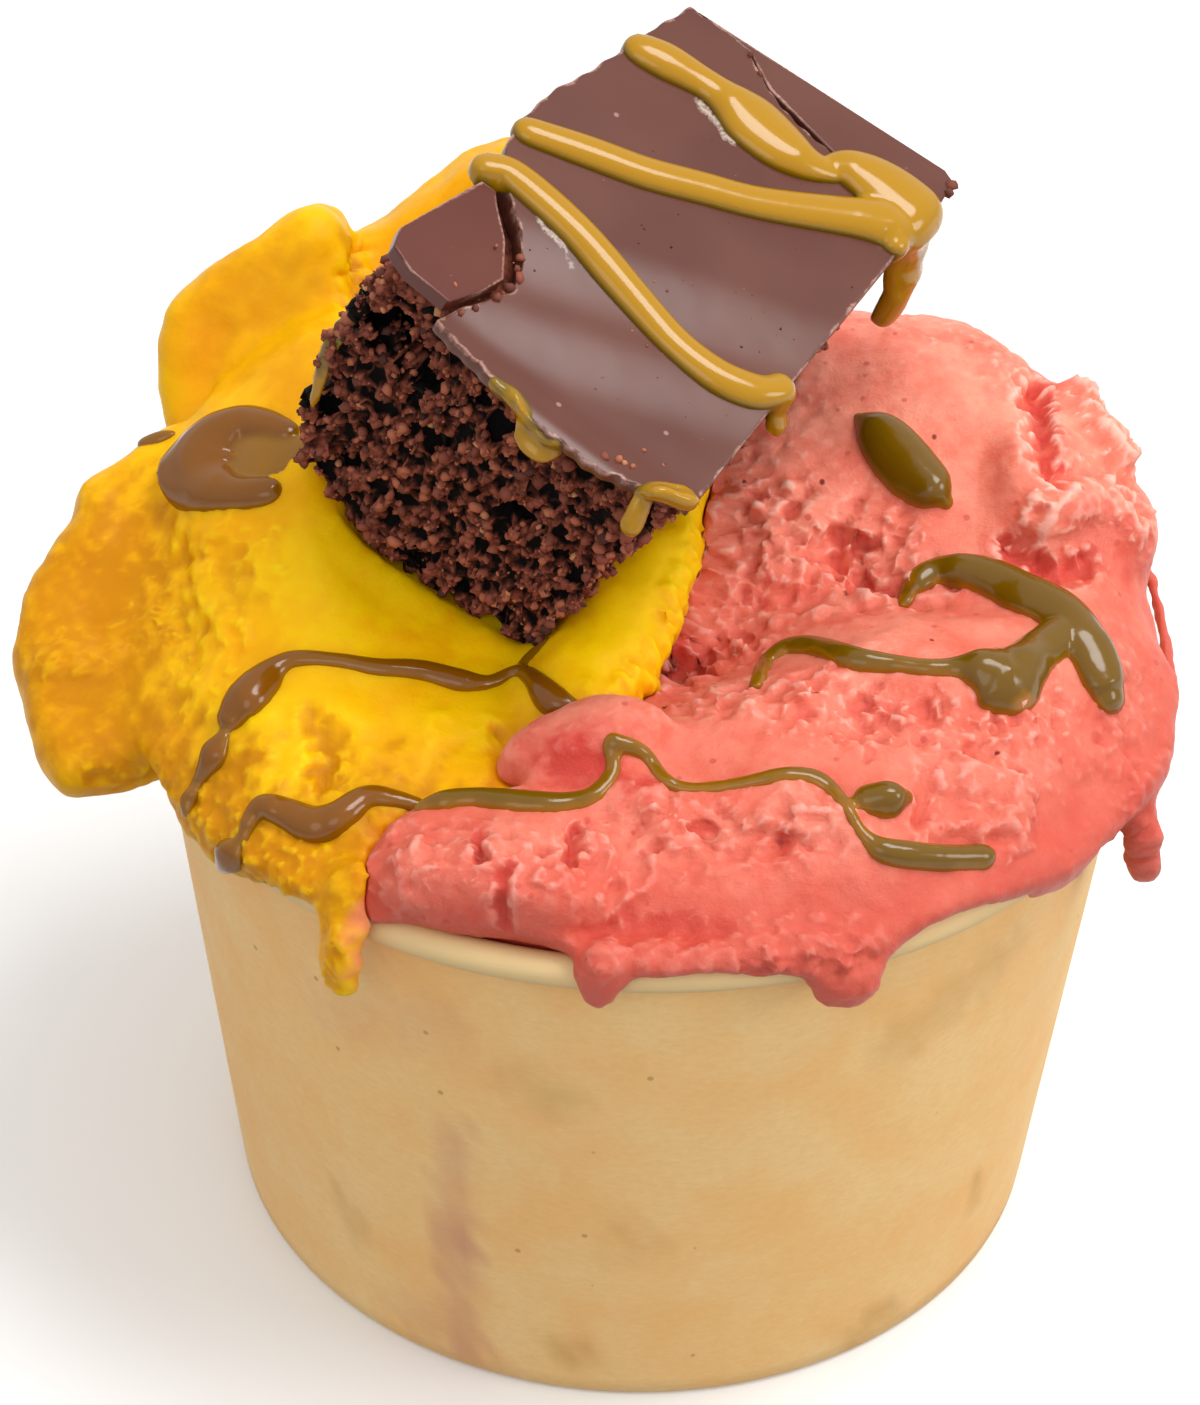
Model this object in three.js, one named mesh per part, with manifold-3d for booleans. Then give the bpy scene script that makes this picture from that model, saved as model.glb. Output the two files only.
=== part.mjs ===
// A paper tub heaped with mango sorbet at the left and back and strawberry sorbet at the
// right and front. A block of brownie with a snapped sheet of chocolate glaze is pushed into
// the top, and a thick sauce is drizzled over everything. Millimetres, +Z up. Inside the
// file the tub's axis is x = y = 0; the group is then moved so that the origin is the
// centre of the whole thing's footprint, on the table.
import * as THREE from 'three';
import { mergeVertices } from 'three/addons/utils/BufferGeometryUtils.js';
import Module from 'manifold-3d';

const wasm = await Module();
wasm.setup();

const gap = 0.3; // clearance between pieces that touch

const tub = {
  height: 60,
  rimRadius: 48,
  footRadius: 40,
  wall: 0.8,
  rollRadius: 1.5,
  floorLift: 5.5,
  floorThick: 1,
  skirtThick: 1.6,
  sides: 60,
  rollSteps: 6,
};
const wallTopRadius = tub.rimRadius - 2 * tub.rollRadius + tub.wall;
const wallTop = tub.height - 2 * tub.rollRadius;

// The middle of the footprint, seen from the tub's axis.
const footprintCentre = [-4.2, -1.2];

// ---- solids and geometry

// A closed geometry as a solid. Corners within reach of each other become one, and the
// triangles which that flattens, as at the poles of a lathe, are left out.
function toSolid(geometry, reach = 1e-4) {
  geometry.deleteAttribute('normal');
  geometry.deleteAttribute('uv');
  const merged = mergeVertices(geometry, reach);
  const corners = merged.index.array;
  const triangles = [];
  for (let i = 0; i < corners.length; i += 3) {
    const [a, b, c] = corners.slice(i, i + 3);
    if (a !== b && b !== c && c !== a) {
      triangles.push(a, b, c);
    }
  }
  return new wasm.Manifold(new wasm.Mesh({
    numProp: 3,
    vertProperties: merged.attributes.position.array,
    triVerts: new Uint32Array(triangles),
  }));
}

function toGeometry(solid) {
  const mesh = solid.getMesh();
  const geometry = new THREE.BufferGeometry();
  geometry.setAttribute('position', new THREE.BufferAttribute(mesh.vertProperties, 3));
  geometry.setIndex(new THREE.BufferAttribute(mesh.triVerts, 1));
  geometry.computeVertexNormals();
  return geometry;
}

function union(solids) {
  return solids.reduce((joined, solid) => joined.add(solid));
}

function without(solid, others) {
  return others.reduce((rest, other) => rest.subtract(other), solid);
}

const closeCorners = 0.02; // corners this near to each other after a cut are one

// The largest of the bodies, without the scraps that cutting leaves loose, and with the
// corners merged that it left next to each other.
function mainBody(solid) {
  const bodies = solid.decompose();
  const largest = bodies.reduce((best, body) => (body.volume() > best.volume() ? body : best));
  return toSolid(toGeometry(largest), closeCorners);
}

// Moves every vertex of a geometry by place(point, index), which changes the point.
function reshape(geometry, place) {
  const positions = geometry.attributes.position;
  const point = new THREE.Vector3();
  for (let i = 0; i < positions.count; i++) {
    point.fromBufferAttribute(positions, i);
    place(point, i);
    positions.setXYZ(i, point.x, point.y, point.z);
  }
  return geometry;
}

const mix = THREE.MathUtils.lerp;
const smooth = THREE.MathUtils.smoothstep;
const vector = (p) => new THREE.Vector3(...p);
const radians = (degrees) => degrees.map(THREE.MathUtils.degToRad);

// A place's side of a box one unit wide along each axis: -1, 1, or 0 between its faces.
function sidesOf(p) {
  return p.toArray().map((c) => (Math.abs(c) > 0.49 ? Math.sign(c) : 0));
}

// The value at x of a smooth line through knots [x, value], level beyond its ends.
function along(knots, x) {
  const last = knots.length - 1;
  const slope = (i) => {
    const [before, after] = [knots[Math.max(0, i - 1)], knots[Math.min(last, i + 1)]];
    return (after[1] - before[1]) / (after[0] - before[0]);
  };
  let i = 0;
  while (i < last - 1 && x > knots[i + 1][0]) {
    i++;
  }
  const [x0, v0] = knots[i];
  const [x1, v1] = knots[i + 1];
  const t = THREE.MathUtils.clamp((x - x0) / (x1 - x0), 0, 1);
  const rise = (1 - t) * t * ((1 - t) * slope(i) - t * slope(i + 1)) * (x1 - x0);
  return mix(v0, v1, t * t * (3 - 2 * t)) + rise;
}

// Unevenness from -1 to 1, in waves of about the given length.
function unevenness(p, length) {
  const k = (2 * Math.PI) / length;
  const a = Math.sin(k * p.x + 1.7 * Math.sin(0.6 * k * p.y) + 0.4);
  const b = Math.sin(0.9 * k * p.y + 1.5 * Math.sin(0.7 * k * p.z) + 1.1);
  const c = Math.sin(0.8 * k * p.z + 1.9 * Math.sin(0.5 * k * p.x) + 2.3);
  return (a + b + c) / 3;
}

// The sum of unevennesses, each given as [height, wave length].
function unevenBy(waves, p) {
  return waves.reduce((sum, [height, length]) => sum + height * unevenness(p, length), 0);
}

function flatShape(outline) {
  return new THREE.Shape(outline.map(([x, y]) => new THREE.Vector2(x, y)));
}

// ---- paper tub

// The tub turned from one closed section, or that section thickened by grow.
function tubSolid(grow = 0) {
  const section = [];
  const add = (r, z) => section.push(new THREE.Vector2(r, z));
  const footInner = tub.footRadius - tub.skirtThick;
  add(0, tub.floorLift - grow);
  add(footInner - grow, tub.floorLift - grow);
  add(footInner - grow, -grow);
  add(tub.footRadius + grow, -grow);
  add(wallTopRadius + grow, wallTop + tub.rollRadius / 2 - grow);
  const rollCentre = [tub.rimRadius - tub.rollRadius, tub.height - tub.rollRadius];
  for (let i = 0; i <= tub.rollSteps; i++) {
    const turn = mix(-0.25, 1, i / tub.rollSteps) * Math.PI;
    const r = tub.rollRadius + grow;
    add(rollCentre[0] + r * Math.cos(turn), rollCentre[1] + r * Math.sin(turn));
  }
  add(tub.footRadius - tub.wall - grow, tub.floorLift + tub.floorThick + grow);
  add(0, tub.floorLift + tub.floorThick + grow);
  return toSolid(new THREE.LatheGeometry(section, tub.sides).rotateX(Math.PI / 2));
}

// The radius of the tub's inner face at a height.
function innerRadius(z) {
  const share = (z - tub.floorLift) / (tub.height - tub.rollRadius - tub.floorLift);
  const top = tub.rimRadius - 2 * tub.rollRadius;
  return mix(tub.footRadius - tub.wall, top, share);
}

// ---- brownie and glaze, in the block's own frame: u across its front edge, v away from
// the front, w out of its top face, from the top's near left corner

const block = {
  corner: [-22.3, -12.4, 108.6],
  across: [0.809, -0.382, -0.447],
  away: [0.473, 0.874, 0.109],
  depth: 33.6, // from the top of the glaze down
  glazeThick: 2.4,
  // Corners near left, near right, far right and far left of the top and of the bottom.
  top: [[0, 0], [32.4, 0], [32.3, 48.4], [4.3, 45.6]],
  bottom: [[1, 0], [27, 0.6], [27.5, 46], [4, 43]],
  facets: [8, 6, 8],
  roughness: [[0.55, 9], [0.35, 4.6]], // height and wave length of the crumb's unevenness
  bulge: { by: 1.6, reach: 1.15 }, // of the left side, which ends above the foot
  footLift: { left: 4.5, leftUntil: 0.3, right: 1.4, rightFrom: 0.75 },
};
const blockFrame = (() => {
  const u = vector(block.across).normalize();
  const w = u.clone().cross(vector(block.away)).normalize();
  const v = w.clone().cross(u);
  return new THREE.Matrix4().makeBasis(u, v, w).setPosition(vector(block.corner));
})();

const intoPlace = (geometry) => geometry.applyMatrix4(blockFrame);

// Hollows where crumbs broke out of the front face: [u, w] of the middle.
const crumbHollows = [
  { at: [5.6, -6], radius: 3.4, depth: 3.4 },
  { at: [2.4, -15.5], radius: 2.8, depth: 2.2 },
  { at: [4.5, -25.5], radius: 4.2, depth: 1.6 },
  { at: [13, -12], radius: 3.4, depth: 1.1 },
  { at: [24.5, -13.5], radius: 3.6, depth: 1.2 },
  { at: [15, -24], radius: 4, depth: 0.9 },
];

function corner(quad, a, b) {
  const [nearLeft, nearRight, farRight, farLeft] = quad;
  return [0, 1].map((k) => (
    mix(mix(nearLeft[k], nearRight[k], a), mix(farLeft[k], farRight[k], a), b)
  ));
}

function brownieSolid(grow = 0) {
  const geometry = new THREE.BoxGeometry(1, 1, 1, ...block.facets);
  const { bulge, footLift } = block;
  reshape(geometry, (p) => {
    const [sideX, sideY, sideZ] = sidesOf(p);
    const [a, b, c] = p.toArray().map((value) => value + 0.5);
    const low = corner(block.bottom, a, b);
    const high = corner(block.top, a, b);
    p.set(mix(low[0], high[0], c), mix(low[1], high[1], c), mix(-block.depth, -block.glazeThick, c));
    const rough = sideZ > 0 ? 0 : unevenBy(block.roughness, p);
    let dent = 0;
    if (sideY < 0 && sideZ <= 0) {
      for (const hollow of crumbHollows) {
        const distance = Math.hypot(p.x - hollow.at[0], p.z - hollow.at[1]);
        dent += hollow.depth * (1 - smooth(distance, 0, hollow.radius));
      }
    }
    const round = Math.sin(Math.PI * Math.min(1, (1 - c) * bulge.reach));
    p.x += sideX * (grow + rough) - (sideX < 0 ? bulge.by * round : 0);
    p.y += sideY * (grow + rough) + dent;
    p.z += sideZ * (grow + rough);
    const lift = footLift.left * (1 - smooth(a, 0, footLift.leftUntil))
      + footLift.right * smooth(a, footLift.rightFrom, 1);
    p.z += (1 - c) ** 3 * lift;
  });
  return toSolid(intoPlace(geometry));
}

// The big sheet lies between four edge lines: v of its front and back by u, and u of its
// left edge by v. It sags over the front of the block, and its edge curls up a little.
const mainSheet = {
  front: [[6.8, -2.2], [13.7, -3.7], [20.5, -4.6], [26.5, -4.1], [32.2, -1.4]],
  back: [[4.4, 45.7], [11, 45.3], [14.3, 43], [22.7, 41.3], [32.6, 42.8]],
  left: [[-3, 7.1], [5.8, 9.2], [8.2, 8], [12.6, 3.6], [14.2, 1], [18.5, 0.4], [34, 2.3], [46, 4.4]],
  right: 33,
  leftSpan: [-3, 44], // v of the left edge's ends
  sag: { by: 1.5, until: 11 },
  curl: { by: 0.5, at: -3.5, reach: 2 },
  facets: [7, 11, 1],
};

// How far the glaze's upper face lies from the top plane.
function glazeTop(v) {
  const { sag, curl } = mainSheet;
  const raised = curl.by * Math.exp(-(((v - curl.at) / curl.reach) ** 2));
  return raised - sag.by * (1 - smooth(v, 0, sag.until));
}

function mainSheetSolid(grow = 0) {
  const geometry = new THREE.BoxGeometry(1, 1, 1, ...mainSheet.facets);
  reshape(geometry, (p) => {
    const [sideX, sideY, sideZ] = sidesOf(p);
    const b = p.y + 0.5;
    const left = along(mainSheet.left, mix(...mainSheet.leftSpan, b));
    const u = mix(left, mainSheet.right, p.x + 0.5);
    const v = mix(along(mainSheet.front, u), along(mainSheet.back, u), b);
    const w = glazeTop(v) - (sideZ < 0 ? block.glazeThick : 0);
    p.set(u + sideX * grow, v + sideY * grow, w + sideZ * grow);
  });
  return toSolid(intoPlace(geometry));
}

// The chip that snapped off at the near left corner and tipped, and the strip beyond the
// crack at the far side: outlines in u and v.
const cornerChip = {
  outline: [
    [-0.6, 0.2], [1.2, -0.8], [5.4, -0.8], [7.3, 0], [8.2, 5.4], [7, 7.9], [3.2, 12.2],
    [1.2, 12], [0.4, 7.2], [-0.9, 2.6],
  ],
  middle: [3.5, 5],
  lean: radians([-5, 7, 0]),
  lift: 0.4,
};
const farStrip = {
  outline: [
    [4.6, 46.4], [11.1, 46.1], [14.6, 43.8], [22.9, 42.1], [33.4, 43.6], [32.9, 48.6], [31.6, 49.2],
  ],
  middle: [20, 46],
  lean: [0, 0, 0],
  lift: 0,
};

function fragmentSolid({ outline, middle, lean, lift }, grow = 0) {
  const spread = outline.map(([u, v]) => {
    const out = new THREE.Vector2(u - middle[0], v - middle[1]);
    return out.setLength(out.length() + grow).toArray();
  });
  const depth = block.glazeThick + 2 * grow;
  const geometry = new THREE.ExtrudeGeometry(flatShape(spread), { depth, bevelEnabled: false });
  geometry.translate(0, 0, -depth + grow).rotateX(lean[0]).rotateY(lean[1]);
  return toSolid(intoPlace(geometry.translate(...middle, lift)));
}

// ---- sorbet

// The heap's outer edge by compass turn (degrees, 0 at +X, -90 at the front): how far it
// reaches, the height there, and the height of its lower lip. A lip above the tub's rim
// lies on it, and a lower one hangs over it.
const edge = [
  [-190, 49, 65, 60.6], [-178, 49.5, 63, 59], [-165, 49.6, 62, 58], [-152, 49.8, 61.5, 58.5],
  [-143, 49.8, 60.5, 55.8], [-135, 49.8, 61, 56.8], [-127, 49.6, 61.5, 58.8],
  [-118, 48.6, 61.8, 59.3], [-111, 47, 62.4, 60.4], [-99, 47.2, 62.2, 60.4],
  [-92, 49.2, 61.5, 59], [-84, 49.4, 62, 59.4], [-76, 49.6, 61.6, 58.2], [-68, 49.8, 61.4, 57],
  [-59, 49.2, 62, 60], [-51, 49.3, 61.6, 59.4], [-42, 50.2, 60.6, 56], [-33, 50.4, 61, 57.6],
  [-23, 50.8, 60.6, 55.4], [-12, 50.4, 61.4, 56.2], [-3, 47.2, 63.4, 60.4], [6, 47.4, 65, 60.6],
  [14, 48.9, 66.5, 61], [30, 47.4, 64.5, 60.6], [60, 46.6, 63.4, 60.4], [95, 46.2, 63.6, 60.4],
  [125, 46.8, 64, 60.4], [146, 48.2, 65.5, 60.8], [170, 49, 65, 60.6],
];

function edgeAt(turn) {
  const degrees = THREE.MathUtils.radToDeg(turn);
  const round = degrees > 170 ? degrees - 360 : degrees;
  const [reach, middle, low] = [1, 2, 3].map((k) => (
    along(edge.map((row) => [row[0], row[k]]), round)
  ));
  return { reach, middle, low };
}

// Height lines of each scoop at a place x, as [y, z] from the front to the back.
const mangoHeights = [
  [-52, [[-24, 58], [-12, 62], [0, 66], [10, 67], [20, 62]]],
  [-45, [[-32, 60], [-20, 63.5], [-10, 67.5], [0, 72.5], [10, 75], [20, 70], [30, 63]]],
  [-33, [
    [-38, 62], [-30, 65.5], [-22, 69], [-14, 72.5], [-5, 78.5], [4, 81.5], [20, 82], [30, 74],
    [38, 64],
  ]],
  [-22, [
    [-46, 61], [-38, 63.6], [-33, 64.6], [-29, 66.4], [-25, 68], [-16, 70], [-9, 73], [0, 78],
    [12, 82.5], [26, 84], [36, 75], [44, 63],
  ]],
  [-12, [
    [-46, 62], [-36, 64.5], [-29, 66], [-23, 67.6], [-13, 68.8], [-4, 72], [8, 77], [24, 82],
    [34, 82], [44, 67],
  ]],
  [-2, [[-46, 62], [-36, 64], [-26, 66], [-18, 68.8], [-8, 71.6], [4, 74], [24, 80], [36, 81], [46, 65]]],
  [10, [[-40, 62], [-20, 66], [-6, 73], [4, 75], [20, 77], [34, 78], [46, 63]]],
];
const strawberryHeights = [
  [-20, [[-46, 61.5], [-40, 65], [-33, 67.5], [-25, 67], [0, 66]]],
  [-5, [[-48, 61], [-42, 65], [-36, 68], [-30, 68.5], [-24, 66], [-10, 66]]],
  [8, [
    [-48, 61], [-42, 64.5], [-36, 68.5], [-30, 69.5], [-24, 71], [-20, 70.4], [-15, 66.5],
    [-6, 68.5], [6, 74], [22, 78], [34, 76], [46, 63],
  ]],
  [20, [
    [-46, 60.5], [-42, 64], [-36, 68.3], [-30, 69.2], [-24, 69.5], [-18, 73], [-12, 70.5],
    [-5, 69], [3, 73], [10, 76.5], [24, 79.6], [34, 75], [44, 63],
  ]],
  [32, [
    [-38, 60.5], [-32, 65.5], [-26, 68], [-20, 71], [-13, 70.5], [-6, 70], [2, 74], [12, 78.5],
    [22, 79.4], [32, 74], [40, 63],
  ]],
  [41, [[-28, 60], [-22, 64.5], [-14, 68], [-6, 69.5], [2, 72], [10, 75.5], [18, 75.5], [26, 70], [32, 63]]],
  [48, [[-16, 60], [-8, 64], [0, 66], [8, 67.5], [16, 65], [22, 61]]],
];

function heightOf(lines, x, y) {
  return along(lines.map(([place, line]) => [place, along(line, y)]), x);
}

// A scoop pressed into the tub: a lathe whose rings follow the tub's inner wall, the lip
// over the rim, and then the height lines in to the axis.
const scoop = {
  turns: 58,
  wallRings: 3,
  wallTo: 54,
  lipRings: 3,
  lipSteps: [1.6, 0.4], // how far the lip's last two rings stay inside its reach
  lipInner: 0.6, // how far the lip's first ring lies below its lower edge
  lipRise: 0.4, // share of the way up at its last ring
  topRings: 12,
  crowding: 1.25, // over 1 for rings closer together at the edge
  roundIn: 6,
  roughness: [[0.65, 11], [0.35, 5.5]],
  roughAtEdge: 0.3,
};

function scoopMass(lines, roughness, grow = 0) {
  const floorZ = tub.floorLift + tub.floorThick + gap;
  const rings = scoop.wallRings + scoop.lipRings + scoop.topRings;
  const section = [];
  for (let j = 0; j < rings; j++) {
    section.push(new THREE.Vector2(j === 0 || j === rings - 1 ? 0 : 1, j));
  }
  const geometry = new THREE.LatheGeometry(section, scoop.turns).rotateX(Math.PI / 2);
  reshape(geometry, (p, index) => {
    const j = index % rings;
    const turn = Math.atan2(p.y, p.x);
    const { reach, middle, low } = edgeAt(turn);
    const outer = reach + grow;
    const lipRing = j - scoop.wallRings;
    const topRing = lipRing - scoop.lipRings;
    let r;
    let z;
    if (lipRing < 0) {
      z = j < 2 ? floorZ - grow : scoop.wallTo;
      r = j === 0 ? 0 : innerRadius(z) - 1.5 * gap + grow;
    } else if (topRing < 0) {
      const inner = tub.rimRadius - 2 * tub.rollRadius - gap;
      r = [inner, ...scoop.lipSteps.map((step) => outer - step)][lipRing];
      z = [low - scoop.lipInner, low, mix(low, middle, scoop.lipRise)][lipRing] - grow;
    } else {
      r = outer * (1 - (topRing / (scoop.topRings - 1)) ** scoop.crowding);
      const inward = Math.min(1, (outer - r) / scoop.roundIn);
      const [x, y] = [r * Math.cos(turn), r * Math.sin(turn)];
      const top = Math.max(middle, heightOf(lines, x, y));
      z = mix(middle, top, Math.sqrt(1 - (1 - inward) ** 2)) + grow;
      const place = new THREE.Vector3(x, y, z);
      const bumps = roughness * unevenBy(scoop.roughness, place);
      z += bumps * Math.min(1, inward + scoop.roughAtEdge);
      r += r > 0 ? bumps * (1 - inward) : 0;
    }
    p.set(r * Math.cos(turn), r * Math.sin(turn), z);
  });
  return toSolid(geometry);
}

const lumpWave = 7; // length of the waves in a lump's skin

// A lump of sorbet: a ball stretched to half-sizes, boxier as boxy rises over 2, turned
// by degrees about X, Y and Z, with an uneven skin.
function lump({ at, size, turn = [0, 0, 0], boxy = 2, rough = 0.5, detail = 2 }, grow = 0) {
  const geometry = new THREE.IcosahedronGeometry(1, detail);
  const rotation = new THREE.Euler(...radians(turn));
  reshape(geometry, (p) => {
    const power = Math.abs(p.x) ** boxy + Math.abs(p.y) ** boxy + Math.abs(p.z) ** boxy;
    const out = p.clone();
    p.multiplyScalar(power ** (-1 / boxy));
    p.multiply(vector(size).addScalar(grow));
    p.addScaledVector(out, rough * unevenness(p.clone().add(vector(at)), lumpWave));
    p.applyEuler(rotation).add(vector(at));
  });
  return toSolid(geometry);
}

// A slab of sorbet that the spade left standing: an outline on a plane through a point,
// leaning back from upright by degrees, thickened both ways with a round edge.
function slab({ at, lean, outline, thick, round }) {
  const options = {
    depth: thick - 2 * round,
    bevelThickness: round,
    bevelSize: round,
    bevelOffset: -round,
    bevelSegments: 2,
  };
  const geometry = new THREE.ExtrudeGeometry(flatShape(outline), options);
  geometry.translate(0, 0, round - thick);
  geometry.rotateX(THREE.MathUtils.degToRad(90 - lean));
  geometry.translate(...at);
  return toSolid(geometry);
}

const mangoSlabs = [
  { // stands at the back left
    at: [-38, 19, 80],
    lean: 30,
    thick: 11,
    round: 2.2,
    outline: [
      [-7, -14], [-8.3, -6], [-9.3, -0.9], [-7.9, 2.9], [-4.1, 6.8], [1, 9.9], [6, 13],
      [8.1, 12], [9.2, 9], [12, 2], [14, -14],
    ],
  },
  { // stands behind the brownie
    at: [-18, 31, 86],
    lean: 20,
    thick: 10,
    round: 2.2,
    outline: [
      [-15, -16], [-12.5, -3], [-7.6, -0.8], [-3.3, 3], [0, 5.5], [3.3, 7], [10, 7.2],
      [17, 4], [20, -3], [21, -16],
    ],
  },
  { // hangs over the rim at the left
    at: [-50, -6, 68.2],
    lean: 60,
    thick: 8,
    round: 2.6,
    outline: [
      [4.9, 18.5], [0.4, 15], [-3.4, 12], [-3.4, 9], [-5.7, 5], [-7.6, 0.8], [-8.3, -4.5],
      [-6.5, -11], [-4, -16.5], [-2.6, -18.8], [2.8, -17.5], [9, -15.5], [15, -9], [16, 16],
    ],
  },
];
const mangoLumps = [
  { at: [-3.6, -12.4, 69.2], size: [5, 12.5, 3.6], turn: [12, 0, -22], boxy: 2.6 },
];
const strawberryLumps = [
  { at: [37.9, 11, 72.2], size: [7, 12, 5.6], turn: [0, 24, -14], boxy: 2.6 },
  { at: [42, 5.4, 69.5], size: [6, 6, 4.6], turn: [10, 20, 0], boxy: 2.6 },
  { at: [-5.5, -27.5, 69], size: [8, 3.6, 3.2], turn: [0, -14, 8] }, // tongue over the mango
  { at: [-13, -39.6, 63.4], size: [10.5, 6, 4.6], turn: [-12, 0, -14], boxy: 3 },
  { at: [-3.6, -48.6, 59.4], size: [2.6, 1.8, 3.4] }, // drips over the rim
  { at: [17, -46, 58], size: [3.4, 2, 3] },
];

// Sorbet that ran down outside the rim, as lines of [x, y, z, radius].
const mangoRuns = [
  [[-24.8, -40.6, 62.4, 3.2], [-26, -42.2, 59, 2.8], [-26.4, -42.8, 55.5, 2.4], [-26.3, -42.6, 53.6, 1.8]],
];
const strawberryRuns = [
  [[44, -19.5, 60.5, 2.4], [45.3, -20.6, 57, 1.9], [45.7, -21, 53.5, 1.8], [45.7, -21.1, 51.2, 1.7]],
  [
    [45.6, 14, 62.4, 1.6], [48.4, 9.8, 60.6, 1.2], [49.1, 3, 58.8, 1.2], [49.1, -3, 57.8, 1.3],
    [48.8, -6, 57.2, 1.2],
  ],
];

// The line between the two flavours on the plan, from the back of the tub to its front;
// the strawberry fills the side towards +X.
const seamRise = 140; // the seam runs higher than anything in the heap
const seam = [
  [6, 64], [8, 50], [6, 28], [6.5, 10], [4.6, -2], [2.6, -9], [0.4, -16], [-1.5, -22],
  [-6, -25], [-10, -27.5], [-4, -30.5], [-12, -32.5], [-19, -33], [-23, -38], [-25, -43],
  [-26, -64],
];

function strawberrySide(grow = 0) {
  const outline = [...seam.map(([x, y]) => [x - grow, y]), [70, -64], [70, 64]];
  const options = { depth: seamRise, bevelEnabled: false };
  return toSolid(new THREE.ExtrudeGeometry(flatShape(outline), options));
}

const strawberryRoughness = 0.9;
const mangoRoughness = 0.5;

function strawberryBody(grow = 0) {
  const mass = scoopMass(strawberryHeights, strawberryRoughness, grow).intersect(strawberrySide(grow));
  return union([mass, ...strawberryLumps.map((shape) => lump(shape, grow))]);
}

function mangoBody() {
  const mass = scoopMass(mangoHeights, mangoRoughness).subtract(strawberrySide(1.5 * gap));
  const slabs = mangoSlabs.map((shape) => slab(shape));
  return union([mass, ...slabs, ...mangoLumps.map((shape) => lump(shape))]);
}

// ---- sauce, fused to what it lies on

const strandShape = {
  step: 2.8,
  flatness: 0.75,
  sink: 0.25, // share of its radius that a strand is sunk in by
  sides: 5,
  capRings: 2,
};

// A strand: a capsule bent along a line of points [x, y, z, radius] and flattened towards
// what it lies on, its broad side facing a direction.
function strand(points, facing, grow = 0) {
  const line = new THREE.CatmullRomCurve3(points.map(([x, y, z]) => new THREE.Vector3(x, y, z)));
  const last = points.length - 1;
  const radii = points.map(([, , , radius], i) => [i / last, radius]);
  const { sides, capRings, flatness } = strandShape;
  const geometry = new THREE.CapsuleGeometry(1, 2, capRings, sides, last);
  reshape(geometry, (p) => {
    const inLine = THREE.MathUtils.clamp(p.y, -1, 1);
    const beyond = p.y - inLine;
    const [across, height] = [p.x, p.z];
    const t = (inLine + 1) / 2;
    const radius = along(radii, t) + grow;
    const forward = line.getTangent(t);
    const side = forward.clone().cross(facing).normalize();
    p.copy(line.getPoint(t));
    p.addScaledVector(forward, beyond * radius);
    p.addScaledVector(side, across * radius);
    p.addScaledVector(side.cross(forward), height * radius * flatness);
  });
  return toSolid(geometry);
}

const upwards = new THREE.Vector3(0, 0, 1);

// A run down the outside of the tub faces away from the tub's axis.
function run(points, grow = 0) {
  const [x, y] = points[points.length - 1];
  return strand(points, new THREE.Vector3(x, y, 0).normalize(), grow);
}

// Points [x, y, radius] on the plan, at even steps and with the height of the body below,
// a little sunk in.
function drape(points, body) {
  const mesh = new THREE.Mesh(toGeometry(body));
  const plan = new THREE.CatmullRomCurve3(points.map(([x, y]) => new THREE.Vector3(x, y, 0)));
  const last = points.length - 1;
  const radii = points.map(([, , radius], i) => [i / last, radius]);
  const steps = Math.max(2, Math.round(plan.getLength() / strandShape.step));
  return Array.from({ length: steps + 1 }, (_, i) => {
    const { x, y } = plan.getPoint(i / steps);
    const radius = along(radii, i / steps);
    const from = new THREE.Vector3(x, y, seamRise);
    const [hit] = new THREE.Raycaster(from, upwards.clone().negate()).intersectObject(mesh);
    return [x, y, hit.point.z - strandShape.sink * radius, radius];
  });
}

const mangoSauce = [
  [ // hooked pool by the brownie
    [-33.1, 1.8, 0.7], [-35.5, 4.1, 0.9], [-38.5, 6, 1.5], [-40.9, 5.6, 2.3], [-41.7, 3, 2.8],
    [-40.8, -0.4, 1.9], [-37.8, -3, 1.2], [-34.6, -3.9, 1],
  ],
  [ // across the slope
    [-37.5, -22.1, 1.3], [-35.6, -21.1, 1.7], [-33.5, -19.3, 1.3], [-31.2, -18.7, 0.8],
    [-23.9, -18.5, 0.8], [-16.6, -18.7, 1], [-11.7, -17, 0.7], [-10.4, -19, 0.8], [-8.3, -22, 1.1],
    [-7.4, -24.4, 0.8],
  ],
  [[-37.6, -23.9, 1], [-38.2, -25.2, 1.3], [-39.6, -27.4, 0.7], [-39.6, -28.2, 0.6]],
  [ // lower strand
    [-34.6, -34, 0.6], [-33.6, -31.9, 0.9], [-31.3, -32.6, 1], [-28.8, -33.8, 1.2],
    [-26.8, -33.2, 1.2], [-24.2, -31.5, 1], [-20.4, -32.6, 0.8],
  ],
  [[-34.9, -32.9, 0.8], [-35.2, -33.6, 1.3]],
];
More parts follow.
